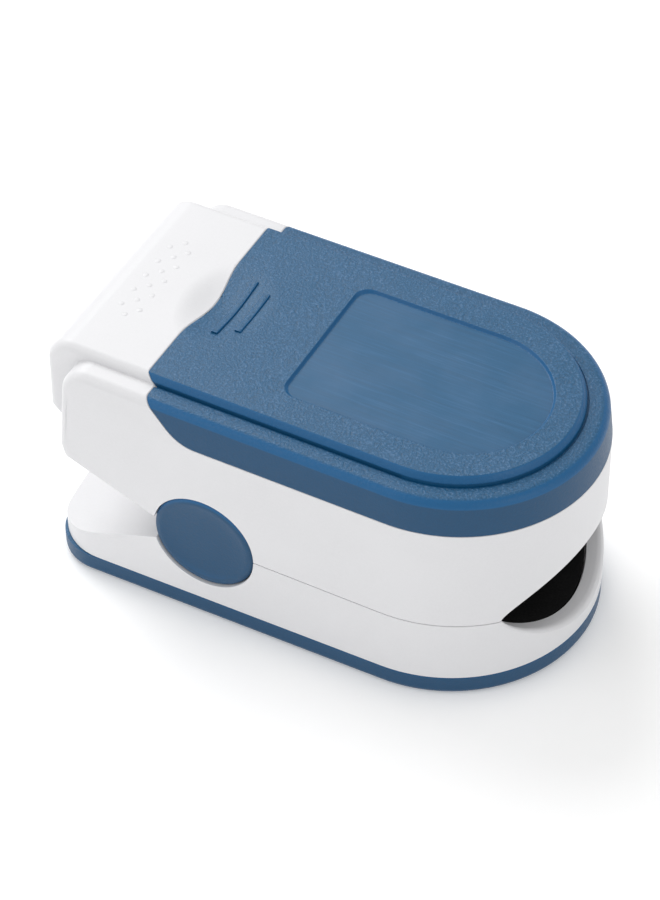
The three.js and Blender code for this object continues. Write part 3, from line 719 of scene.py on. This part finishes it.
def cushioned(side_view, half, radius, beyond=(), steps=8):
    """A side view extended across the body with its edges rounded.

    side_view(inset) gives the outline shrunk by that much, and half(z) the half width at a height.
    beyond holds the depths of any sections that lie outside the body.
    """
    edge = [(radius * (1 - math.cos(a)), radius * (1 - math.sin(a))) for a in quarter_turn(steps)]
    edge = [(depth, radius) for depth in beyond] + edge
    rings = [[(x, half(z) - depth, z) for x, z in side_view(inset)] for depth, inset in edge]
    mirrored = [[(x, -y, z) for x, y, z in ring] for ring in reversed(rings)]
    return loft(rings + mirrored)


def cheek_view(inset):
    """Side view of the white cheeks and the body in front of them."""
    rear = CHEEK_REAR_X + inset + CHEEK_LEAN / 4
    corner_x = CHEEK_REAR_X + CHEEK_LEAN + CHEEK_CORNER
    return [
        *arc(corner_x, SHELF_Z - CHEEK_CORNER, CHEEK_CORNER - inset, 90, 180, 16),
        (rear, CHEEK_REAR_Z + 1.2),
        (rear + 0.4, cheek_z(CHEEK_REAR_X + 0.4)),
        (HINGE_X, cheek_z(HINGE_X)),
        (HINGE_X, HINGE_Z),
        (FRONT_X + 1, HINGE_Z),
        (FRONT_X + 1, SHELF_Z - inset),
    ]


def cap_view(inset):
    """Side view of the white raised end."""
    rear = CAP_REAR_X + inset
    return [
        *arc(CAP_REAR_X + CAP_CORNER, PLATEAU_Z - CAP_CORNER, CAP_CORNER - inset, 90, 180, 16),
        (rear, CAP_BOTTOM_Z + 0.8),
        (rear + 0.8, CAP_BOTTOM_Z),
        (FRONT_X, CAP_BOTTOM_Z),
        (FRONT_X, PLATEAU_Z - inset),
    ]


def casing_form():
    """Outer form of the battery half's white casing before the cover's place is cut out, level."""
    top = SHELF_Z + 1
    walls = plan_block(
        [(0, HINGE_Z + SEAM), (SKIRT_INSET, SKIRT_Z), (side_draft(top), top)], CHEEK_REAR_X - 0.5, 0.3
    )
    cheeks = cushioned(cheek_view, lambda z: HALF_W - side_draft(z), CHEEK_ROUND, beyond=(OUTSIDE,))
    return join(meet(walls, cheeks), cut(white_cap(), buried()))


def cover_form():
    """Outer form of the battery cover with its raised top, level, still running on to the rear."""
    return join(plan_block(side_profile(), CHEEK_REAR_X, 1.2), cut(blue_plateau(), buried()))


def buried():
    """The inside of the raised top that lies within the body below it."""
    return block(CHEEK_REAR_X + 3, FRONT_X, -HALF_W, HALF_W, CAP_BOTTOM_Z - 1, SHELF_Z - 0.5)


def white_cap():
    """The raised end of the casing, with broad rounded edges."""
    half = HALF_W - PLATEAU_INSET
    return cushioned(cap_view, lambda z: half, WHITE_CAP_ROUND)


def blue_plateau():
    """The raised top of the cover, with a small bevelled edge."""
    return plan_block(PLATEAU_PROFILE, CAP_REAR_X, 0.8, HALF_W - PLATEAU_INSET)


def hollow_depth(share):
    """Depth of the thumb hollow at that share of the way to its rim."""
    return THUMB_DEPTH * (1 + math.cos(math.pi * min(1, share))) / 2


def thumb_hollow(half_x=THUMB_HALF_X):
    """Shallow oval bowl that runs out level at its rim."""
    steps = 18
    shares = [i / steps for i in range(steps + 1)]
    bowl = [(share, -hollow_depth(share)) for share in shares]
    oval = Matrix.Diagonal((half_x, THUMB_HALF_Y, 1, 1))
    return moved(lathe([*bowl, (1, 1), (0, 1)]), Matrix.Translation((THUMB_X, 0, PLATEAU_Z)) @ oval)


# ---------------------------------------------------------------- battery half
BED_SCREWS = [(-13, 12.4), (-13, -12.4), (6, 12.4), (6, -12.4)]
DOT_ROWS = [(-25.2, 5), (-24.0, 6), (-22.9, 5)]
DOT_PITCH = 2.65
DOT_R = 0.33
DOT_HEIGHT = 0.05
DOT_ROOT = 0.3
RIM_INSET = WALL + 0.6
RIM_TOP_Z = 26.9
TONGUE_Z = 26.1


def grip_dots():
    """Low domes in three staggered rows on the rear of the raised top."""
    dome = [(DOT_R * math.cos(a), DOT_HEIGHT * math.sin(a)) for a in quarter_turn(4)]
    dots = []
    for x, count in DOT_ROWS:
        for i in range(count):
            y = (i - (count - 1) / 2) * DOT_PITCH
            dot = lathe([(0, -DOT_ROOT), (DOT_R, -DOT_ROOT), *dome], 16)
            dots.append(moved(dot, Matrix.Translation((x, y, PLATEAU_Z))))
    return dots


def battery_hollow():
    """Room for the cells, and a pocket for the contacts behind them."""
    inset = RIM_INSET + 0.7
    bay = plan_block([(inset, TRAY_TOP_Z), (inset, 28.9)], CHEEK_REAR_X - 1.4, 0.8)
    under_cap = block(-30, SEAM_X + 1, -12.2, 12.2, 15, 40)
    ahead = block(SEAM_X + 0.9, 40, -20, 20, 15, 40)
    contact_pocket = block(-26.2, -24, -10.8, 10.8, 20, 28)
    return join(meet(bay, join(under_cap, ahead)), contact_pocket)


def cover_rim():
    """Rim inside the cover's skirt, with the tongue that holds the cover's rails down."""
    rim = plan_block([(RIM_INSET, SKIRT_Z - 1), (RIM_INSET, RIM_TOP_Z)], -15, 0.5)
    tongue = plan_block([(WALL + 0.1, TONGUE_Z), (WALL + 0.1, RIM_TOP_Z)], -15, 0.5)
    reach = block(-13.4, FRONT_X, -HALF_W, HALF_W, SKIRT_Z - 0.5, 27)
    inside = plan_block([(RIM_INSET + 0.7, SKIRT_Z - 2), (RIM_INSET + 0.7, 28)], -20, 0.5)
    return cut(meet(join(rim, tongue), reach), inside)


def battery_half_shell():
    """White casing of the thick half: raised end, cheeks, finger opening and battery bay."""
    cover_zone = across(cover_side(SEAM), -HALF_W - 1, HALF_W + 1)
    casing = cut(rounded(cut(casing_form(), cover_zone)), thumb_hollow(4.5))
    lower_hollow = plan_block([(WALL, HINGE_Z - 1), (WALL, TRAY_FLOOR_Z)], CHEEK_REAR_X, 0.8)
    mouth = lipped_mouth(HINGE_Z, 4, MOUTH_RISE)
    shell = cut(casing, lower_hollow, battery_hollow(), mouth, cap_holes())
    ribs = [block(-10, 3, y, y + 0.6, TRAY_TOP_Z - 0.1, 23) for y in (10.9, -11.5)]
    holes = [post(x, y, 0.95, 16, 19, 24) for x, y in BED_SCREWS]
    return cut(join(shell, cover_rim(), *ribs, *grip_dots()), *holes)


RECESS_DEPTH = 0.35
RECESS_SLOPE = 0.22
RECESS_REAR_X = -3.6
RECESS_HALF_W = 9.5
RECESS_CORNER = 1.7
RIB_HALF_W = 0.38
RIB_ROUND = 0.14
RIB_HEIGHT = 0.24
RIB_LIMIT = 0.12  # the ribs stand no higher than this over the raised top
RIB_ROOT = 1.2
GROOVE_W = 0.22
RAIL_Y = 15.4
RAIL_HALF_W = 0.5


def label_recess():
    """Cutter for the recess: its walls slope out from the floor to the rim."""
    def outline(inset):
        half = RECESS_HALF_W - inset
        rear = RECESS_REAR_X + inset
        corner = RECESS_CORNER
        return (
            arc(ARC_X + 1, 0, half, -90, 90, 60)
            + arc(rear + corner, half - corner, corner, 90, 180, 10)
            + arc(rear + corner, corner - half, corner, 180, 270, 10)
        )

    levels = [(RECESS_SLOPE, -RECESS_DEPTH), (0, 0), (-RECESS_SLOPE, RECESS_DEPTH)]
    return loft([[(x, y, PLATEAU_Z + z) for x, y in outline(inset)] for inset, z in levels])


def thumb_rib(x, half):
    """Low bar with a rounded top that follows the floor of the thumb hollow."""
    steps = 24
    right = [(RIB_HALF_W, -RIB_ROOT)]
    for a in quarter_turn(4):
        right.append((RIB_HALF_W - RIB_ROUND * (1 - math.cos(a)), -RIB_ROUND * (1 - math.sin(a))))
    section = [*right, *[(-px, pz) for px, pz in reversed(right)]]
    rings = []
    for i in range(steps + 1):
        y = half * (2 * i / steps - 1)
        share = math.hypot((x - THUMB_X) / THUMB_HALF_X, y / THUMB_HALF_Y)
        crest = PLATEAU_Z + min(RIB_HEIGHT - hollow_depth(share), RIB_LIMIT)
        rings.append([(x + px, y, crest + pz) for px, pz in section])
    return loft(rings)


def plateau_groove():
    """Narrow groove in the shelf round the base of the raised top."""
    half = HALF_W - PLATEAU_INSET
    outer = plan_block([(-GROOVE_W, SHELF_Z - 0.2), (-GROOVE_W, SHELF_Z + 0.2)], -20, 1.5, half)
    inner = plan_block([(0, SHELF_Z - 1), (0, SHELF_Z + 1)], -25, 1.5, half)
    return cut(outer, inner)


def cover_rail(side):
    """Rail inside the skirt that runs under the casing's tongue."""
    return block(-9, 8, side * RAIL_Y - RAIL_HALF_W, side * RAIL_Y + RAIL_HALF_W, SKIRT_Z + 0.1, 25.85)


def battery_cover():
    """Blue sliding cover: skirt, raised top with the label recess and thumb ribs, and rails."""
    outside = meet(cover_form(), across(cover_side(0), -HALF_W - 1, HALF_W + 1))
    under_shelf = plan_block([(1.6, SKIRT_Z - 1), (1.6, SHELF_Z - 1.1)], -30, 0.5)
    top_half_w = HALF_W - PLATEAU_INSET - 1
    under_plateau = plan_block([(0, SKIRT_Z), (0, PLATEAU_Z - 1.3)], -30, 0.5, top_half_w)
    skin = cut(outside, plateau_groove(), thumb_hollow(), label_recess())
    skin = join(rounded(skin), thumb_rib(-14.1, 4.65), thumb_rib(-11.95, 3.35))
    return join(cut(skin, under_shelf, under_plateau), both_sides(cover_rail))


# ---------------------------------------------------------------- display half
PCB_HOLES = [(-20, 10), (-20, -10), (10, 13.3), (10, -13.3)]
WINDOW_REAR_X = -2
WINDOW_FRONT_X = 22
WINDOW_HALF_W = 9.5
WINDOW_CORNER = 2
FACE_THICK = 1.2
FACE_ROUND = 0.9
FACE_WALL = 1.6
LENS_HOLE_R = 2.6
WEB_HALF_X = 2.4
WEB_Z = 7
SHELL_CORNER = 6.7  # the white shell is trimmed at its rear corners, so the face plate shows there


def face_plate():
    """Blue display face with a rounded edge, and openings for the window and the button."""
    edge = []
    for a in quarter_turn(6):
        edge.append((FACE_ROUND - FACE_ROUND * math.sin(a), FACE_ROUND - FACE_ROUND * math.cos(a)))
    outer = display_block([*edge, (0, FACE_PLATE_TOP)])
    inner = display_block([(FACE_WALL, FACE_THICK), (FACE_WALL, FACE_PLATE_TOP + 1)])
    window = rounded_rectangle(WINDOW_REAR_X, WINDOW_FRONT_X, WINDOW_HALF_W, WINDOW_CORNER)
    button_hole = post(BUTTON_X, 0, BUTTON_R + GAP, -1, 3, 48)
    return rounded(cut(outer, inner, plate(window, -1, 3), button_hole))


def display_casing():
    """Outer form of the display half's white casing, with its rear ramp."""
    bottom = FACE_PLATE_TOP + SEAM
    side_view = [
        (REAR_X, bottom),
        (FRONT_X + 1, bottom),
        (FRONT_X + 1, parting_z(FRONT_X + 1) - SEAM),
        (HINGE_X, HINGE_Z - SEAM),
        (HINGE_X - 1.5, HINGE_Z - SEAM),
        (REAR_X, RAMP_REAR_Z),
    ]
    outer = plan_block([(0, bottom), (0, HINGE_Z)], REAR_X + 0.05, SHELL_CORNER, bow=REAR_BOW)
    return rounded(meet(outer, across(side_view, -HALF_W - 1, HALF_W + 1)))


def display_hollow():
    """Room for the electronics: low under the finger channel, higher behind it, falling with the ramp."""
    step_x = CHANNEL_REAR_X - 0.9
    side_view = [
        (REAR_X, 2),
        (FRONT_X, 2),
        (FRONT_X, SHELL_FLOOR_Z),
        (step_x, SHELL_FLOOR_Z),
        (step_x, 6.4),
        (-19, 6.4),
        (-25.6, 3.7),
        (REAR_X, 3.0),
    ]
    return meet(display_block([(WALL, 1), (WALL, 8)]), across(side_view, -HALF_W, HALF_W))


def pad_seat():
    """Room for the lower finger pad."""
    plan = plan_block([(WALL + 0.1, 1), (WALL + 0.1, 14)], CHANNEL_REAR_X - WALL, 0.5)
    trough = channel(MOUTH_HALF_W + 0.8, MOUTH_Z, MOUTH_DEPTH + 0.8, 4, CHANNEL_REAR_X, FRONT_X)
    return meet(trough, plan)


def lower_lug(side):
    """Eye of the display half on the hinge pin."""
    return side_disc(side, HINGE_X, HINGE_Z, LUG_R, LOWER_LUG_Y, LOWER_LUG_Y + LUG_THICK)


def lug_web(side):
    """Web that carries the eye."""
    low, high = sorted((side * LOWER_LUG_Y, side * (LOWER_LUG_Y + LUG_THICK)))
    return block(HINGE_X - WEB_HALF_X, HINGE_X + WEB_HALF_X, low, high, WEB_Z, HINGE_Z)


def display_half_shell():
    """White casing of the thin half: ramp, lower finger opening, hinge lugs and screw bosses."""
    mouth = lipped_mouth(MOUTH_Z, MOUTH_DEPTH, 4)
    flex_slot = block(-7.4, -5.4, -3.3, 3.3, 5, 9)
    emitter_hole = post(SENSOR_X, 0, LENS_HOLE_R, 3, 5)
    openings = [pad_seat(), mouth, barrel(), cap_holes(), flex_slot, emitter_hole]
    shell = cut(display_casing(), display_hollow(), *openings)
    bosses = [post(x, y, 2.0, PCB_Z + PCB_THICK + FIT, 6.6) for x, y in PCB_HOLES[:2]]
    webs = [lug_web(side) for side in (1, -1)]
    pin_hole = disc(HINGE_X, HINGE_Z, PIN_R + 0.1, -HALF_W, HALF_W, 32)
    screw_holes = [post(x, y, 0.85, 2, 5.8, 24) for x, y in PCB_HOLES]
    return cut(join(shell, *bosses, both_sides(lower_lug), *webs), pin_hole, *screw_holes)


def pad_shell(z, down, up, side_view):
    """Rubber lining of the finger channel, within a side view."""
    thin = channel(MOUTH_HALF_W - 0.1, z, down, up, CHANNEL_REAR_X + 1.2, FRONT_X)
    whole = channel(MOUTH_HALF_W + 0.7, z, down + 0.75, up + 0.7, CHANNEL_REAR_X + GAP, FRONT_X)
    plan = plan_block([(WALL + 0.3, 0), (WALL + 0.3, 20)], CHANNEL_REAR_X - WALL, 0.5)
    return meet(cut(meet(whole, plan), thin), across(side_view, -HALF_W, HALF_W))


def lower_finger_pad():
    """Black trough whose front edge shows in the opening."""
    below = [(-6, 2), (FRONT_X, 2), (FRONT_X, parting_z(FRONT_X) - RUN), (-6, parting_z(-6) - RUN)]
    pad = pad_shell(MOUTH_Z, MOUTH_DEPTH - 0.05, 4, below)
    return rounded(cut(pad, post(SENSOR_X, 0, LENS_HOLE_R, 3, 6)))


def upper_finger_pad():
    """Black roof of the finger channel."""
    above = [(-6, HINGE_Z + RUN), (FRONT_X, HINGE_Z + RUN), (FRONT_X, 20), (-6, 20)]
    pad = pad_shell(HINGE_Z, 4, MOUTH_RISE - 0.2, above)
    return rounded(cut(pad, post(SENSOR_X, 0, LENS_HOLE_R, 15, 18)))


CAP_SPIGOT_R = 1.6
CAP_SPIGOT_Y = CAP_INNER_Y - 0.7
DISH_SHARES = (0.95, 0.87, 0.78, 0.66, 0.5, 0.3, 0)


def hinge_cap(side):
    """Round cap over the end of the hinge pin: rounded edge and a slightly dished face."""
    flat = CAP_R - CAP_ROUND
    spigot = [(0, CAP_SPIGOT_Y), (CAP_SPIGOT_R, CAP_SPIGOT_Y), (CAP_SPIGOT_R, CAP_INNER_Y)]
    rim = []
    for a in quarter_turn(8):
        rim.append((flat + CAP_ROUND * math.cos(a), CAP_OUTER_Y - CAP_FALL * (1 - math.sin(a))))
    dish = [(flat * share, CAP_OUTER_Y - CAP_DISH * (1 - share**4)) for share in DISH_SHARES]
    turned = Matrix.Rotation(math.radians(-90 * side), 4, "X")
    profile = [*spigot, (CAP_R, CAP_INNER_Y), *rim, *dish]
    return moved(lathe(profile, 96), Matrix.Translation(HINGE) @ turned)


# ---------------------------------------------------------------- springs and cable
SPRING_WIRE_R = 0.35
SPRING_COIL_R = 1.75
SPRING_LEG = 6.6
SPRING_TURNS = 4
SPRING_Y = 3.9
SPRING_PITCH = 0.95
SPRING_END_Y = SPRING_Y + SPRING_PITCH * SPRING_TURNS
RIBBON_X = -6.4
RIBBON_Z = 4.4
RIBBON_HEIGHT = 12.2
RIBBON_HALF_W = 2.7
RIBBON_THICK = 0.25
RIBBON_BOW = 0.35
RIBBON_BOW_REACH = 3.2  # the ribbon is bowed within this height of the hinge


def wire(points, radius, sides=12):
    """Round wire through the points."""
    path = [Vector(p) for p in points]
    normal = Vector((0, 1, 0))
    rings = []
    for i, at in enumerate(path):
        tangent = (path[min(i + 1, len(path) - 1)] - path[max(i - 1, 0)]).normalized()
        normal = (normal - tangent * normal.dot(tangent)).normalized()
        across_it = tangent.cross(normal)
        turns = [2 * math.pi * k / sides for k in range(sides)]
        rings.append([tuple(at + (normal * math.cos(a) + across_it * math.sin(a)) * radius) for a in turns])
    return loft(rings)


def torsion_spring(side):
    """Coil on the hinge pin with one leg on each jaw."""
    def leg_end(lift, rise, y):
        x = HINGE_X - math.cos(rise) * SPRING_LEG - math.sin(rise) * lift
        return (x, side * y, HINGE_Z - math.sin(rise) * SPRING_LEG + math.cos(rise) * lift)

    start = math.radians(149)
    end = math.radians(163 + 360 * SPRING_TURNS)
    steps = 24 * SPRING_TURNS
    coil = []
    for i in range(steps + 1):
        angle = start + (end - start) * i / steps
        x = HINGE_X + SPRING_COIL_R * math.cos(angle)
        y = side * (SPRING_Y + SPRING_PITCH * SPRING_TURNS * i / steps)
        coil.append((x, y, HINGE_Z + SPRING_COIL_R * math.sin(angle)))
    lower = leg_end(1.15, math.radians(22), SPRING_Y)
    upper = leg_end(-0.15, math.radians(-16.4), SPRING_END_Y)
    return wire([lower, *coil, upper], SPRING_WIRE_R)


def flex_cable():
    """Flat ribbon past the hinge pin, slightly bowed where it bends."""
    steps = 24
    face = []
    for i in range(steps + 1):
        z = RIBBON_Z + RIBBON_HEIGHT * i / steps
        share = min(1, abs(z - HINGE_Z) / RIBBON_BOW_REACH)
        face.append((RIBBON_X + RIBBON_BOW * (1 + math.cos(math.pi * share)) / 2, z))
    back = [(x - RIBBON_THICK, z) for x, z in reversed(face)]
    return across([*face, *back], -RIBBON_HALF_W, RIBBON_HALF_W)


def bridging(form, name, node, slot):
    """A finished piece that spans the two halves, is attached to neither body, and replaces one CAD node.
    """
    finished(form, name, [FINISH[slot]])
    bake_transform(form)
    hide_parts(node)


def satin_floor(cover):
    """Gives the floor of the label recess the cover's second material."""
    floor = (TURN @ Vector((ARC_X, 0, PLATEAU_Z - RECESS_DEPTH)) + Vector((CENTRING, 0, 0))) * MM
    up = TURN.to_3x3() @ Vector((0, 0, 1))
    for polygon in cover.data.polygons:
        if polygon.normal.dot(up) > 0.999 and abs((polygon.center - floor).dot(up)) < 0.02 * MM:
            polygon.material_index = 1


# ---------------------------------------------------------------- pieces
SIDES = ((1, "left"), (-1, "right"))

for side, word in SIDES:
    bridging(torsion_spring(side), f"spring_{word}", f"torsion_spring_{word}", "steel")
bridging(flex_cable(), "ribbon_cable", "flex_cable", "flex_film")
stand_in(
    battery_half_shell(),
    "shell_of_battery_half",
    "battery_half_shell",
    "battery_half",
    "white_plastic",
    level=True,
)
cover = stand_in(
    battery_cover(),
    "cover_of_battery",
    "battery_cover",
    "battery_cover",
    "blue_plastic",
    level=True,
    extra=[FINISH["blue_satin"]],
)
satin_floor(cover)
stand_in(face_plate(), "plate_of_display_face", "face_plate", "display_half", "blue_plastic")
stand_in(
    display_half_shell(),
    "shell_of_display_half",
    "display_half_shell",
    "display_half",
    "white_plastic",
)
stand_in(lower_finger_pad(), "pad_below_finger", "lower_finger_pad", "display_half", "black_rubber")
stand_in(
    upper_finger_pad(),
    "pad_above_finger",
    "upper_finger_pad",
    "battery_half",
    "black_rubber",
    level=True,
)
for side, word in SIDES:
    cap = hinge_cap(side)
    stand_in(cap, f"cap_of_hinge_{word}", f"hinge_cap_{word}", "display_half", "blue_plastic")


# ---------------------------------------------------------------- carried-over CAD nodes
CARRIED = {
    "hinge_pin": "steel",
    "upper_bed_frame": "white_plastic",
    "display_window": "smoked_window",
    "power_button": "button_plastic",
    "display_module": "dark_component",
    "tact_switch": "dark_component",
    "emitter_led": "dark_component",
    "photodiode": "dark_component",
    "flex_connector": "dark_component",
    "emitter_window": "clear_window",
    "photodiode_window": "clear_window",
    "main_pcb": "circuit_board",
    "battery_cell_left": "cell_jacket",
    "battery_cell_right": "cell_jacket",
    "contact_positive": "steel",
    "contact_negative": "steel",
    "contact_bridge": "steel",
    **{f"pcb_screw_{i}": "steel" for i in range(1, 5)},
    **{f"bed_screw_{i}": "steel" for i in range(1, 5)},
}
for node, finish in CARRIED.items():
    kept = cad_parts[node].data
    kept.materials.clear()
    kept.materials.append(FINISH[finish])


# ---------------------------------------------------------------- studio
FLOOR_HALF = 3.0
LAMPS = (
    # name, azimuth, elevation, distance, width, watts
    ("lamp_behind", 238, 46, 0.6, 0.45, 2.1),
    ("lamp_left", 318, 30, 0.7, 0.5, 0.9),
    ("lamp_right", 75, 28, 0.7, 0.4, 0.6),
)
CAMERA_AZIMUTH = 28.2
CAMERA_ELEVATION = 44.09
CAMERA_ROLL = -0.84
CAMERA_DISTANCE = 332.3
CAMERA_LENS = 119.5


def direction(azimuth, elevation):
    """Unit vector towards an azimuth and elevation in degrees."""
    turn = math.radians(azimuth)
    rise = math.radians(elevation)
    return Vector((math.sin(turn) * math.cos(rise), -math.cos(turn) * math.cos(rise), math.sin(rise)))


def paper_floor():
    """Near-white paper under the part."""
    size = FLOOR_HALF
    corners = [(-size, -size, 0), (size, -size, 0), (size, size, 0), (-size, size, 0)]
    floor = bpy.data.objects.new("floor", bpy.data.meshes.new("floor"))
    floor.data.from_pydata(corners, [], [(0, 1, 2, 3)])
    floor.location.z = -0.00002
    bpy.context.scene.collection.objects.link(floor)
    paper = Shader("floor_paper", Roughness=0.9)
    tooth = paper.noise(1.5, detail=3.0)
    paper.colour(paper.mix(tooth, (0.90, 0.90, 0.90, 1), (0.93, 0.93, 0.93, 1)))
    paper.rough(paper.span(tooth, 0.85, 0.95))
    paper.surface.inputs["Emission Color"].default_value = (1, 1, 1, 1)
    paper.surface.inputs["Emission Strength"].default_value = 0.16
    floor.data.materials.append(paper.material)


def pale_dome():
    """An even pale light from all round."""
    world = bpy.data.worlds.new("dome")
    world.use_nodes = True
    background = world.node_tree.nodes["Background"]
    background.inputs["Color"].default_value = (1.0, 1.0, 1.0, 1)
    background.inputs["Strength"].default_value = 0.68
    bpy.context.scene.world = world


def lamps():
    """Three soft lamps round the part."""
    centre = Vector((0, 0, 15 * MM))
    for name, azimuth, elevation, distance, width, watts in LAMPS:
        data = bpy.data.lights.new(name, "AREA")
        data.shape = "DISK"
        data.size = width
        data.energy = watts
        lamp = bpy.data.objects.new(name, data)
        bpy.context.scene.collection.objects.link(lamp)
        away = direction(azimuth, elevation)
        lamp.location = centre + away * distance
        lamp.rotation_mode = "QUATERNION"
        lamp.rotation_quaternion = away.to_track_quat("Z", "Y")


def camera():
    """The photograph's viewpoint, as azimuth, elevation and distance from a point on the body."""
    target = Vector((-3.1 + CENTRING, 1.42, 12.21))
    back = direction(CAMERA_AZIMUTH, CAMERA_ELEVATION)
    roll = Matrix.Rotation(math.radians(CAMERA_ROLL), 4, "Z")
    data = bpy.data.cameras.new("camera")
    data.lens = CAMERA_LENS
    data.clip_start = 0.01
    data.clip_end = 20
    made = bpy.data.objects.new("camera", data)
    bpy.context.scene.collection.objects.link(made)
    made.rotation_mode = "QUATERNION"
    made.location = (target + back * CAMERA_DISTANCE) * MM
    made.rotation_quaternion = back.to_track_quat("Z", "Y") @ roll.to_quaternion()
    bpy.context.scene.camera = made


paper_floor()
pale_dome()
lamps()
camera()
bpy.context.scene.view_settings.view_transform = "Standard"
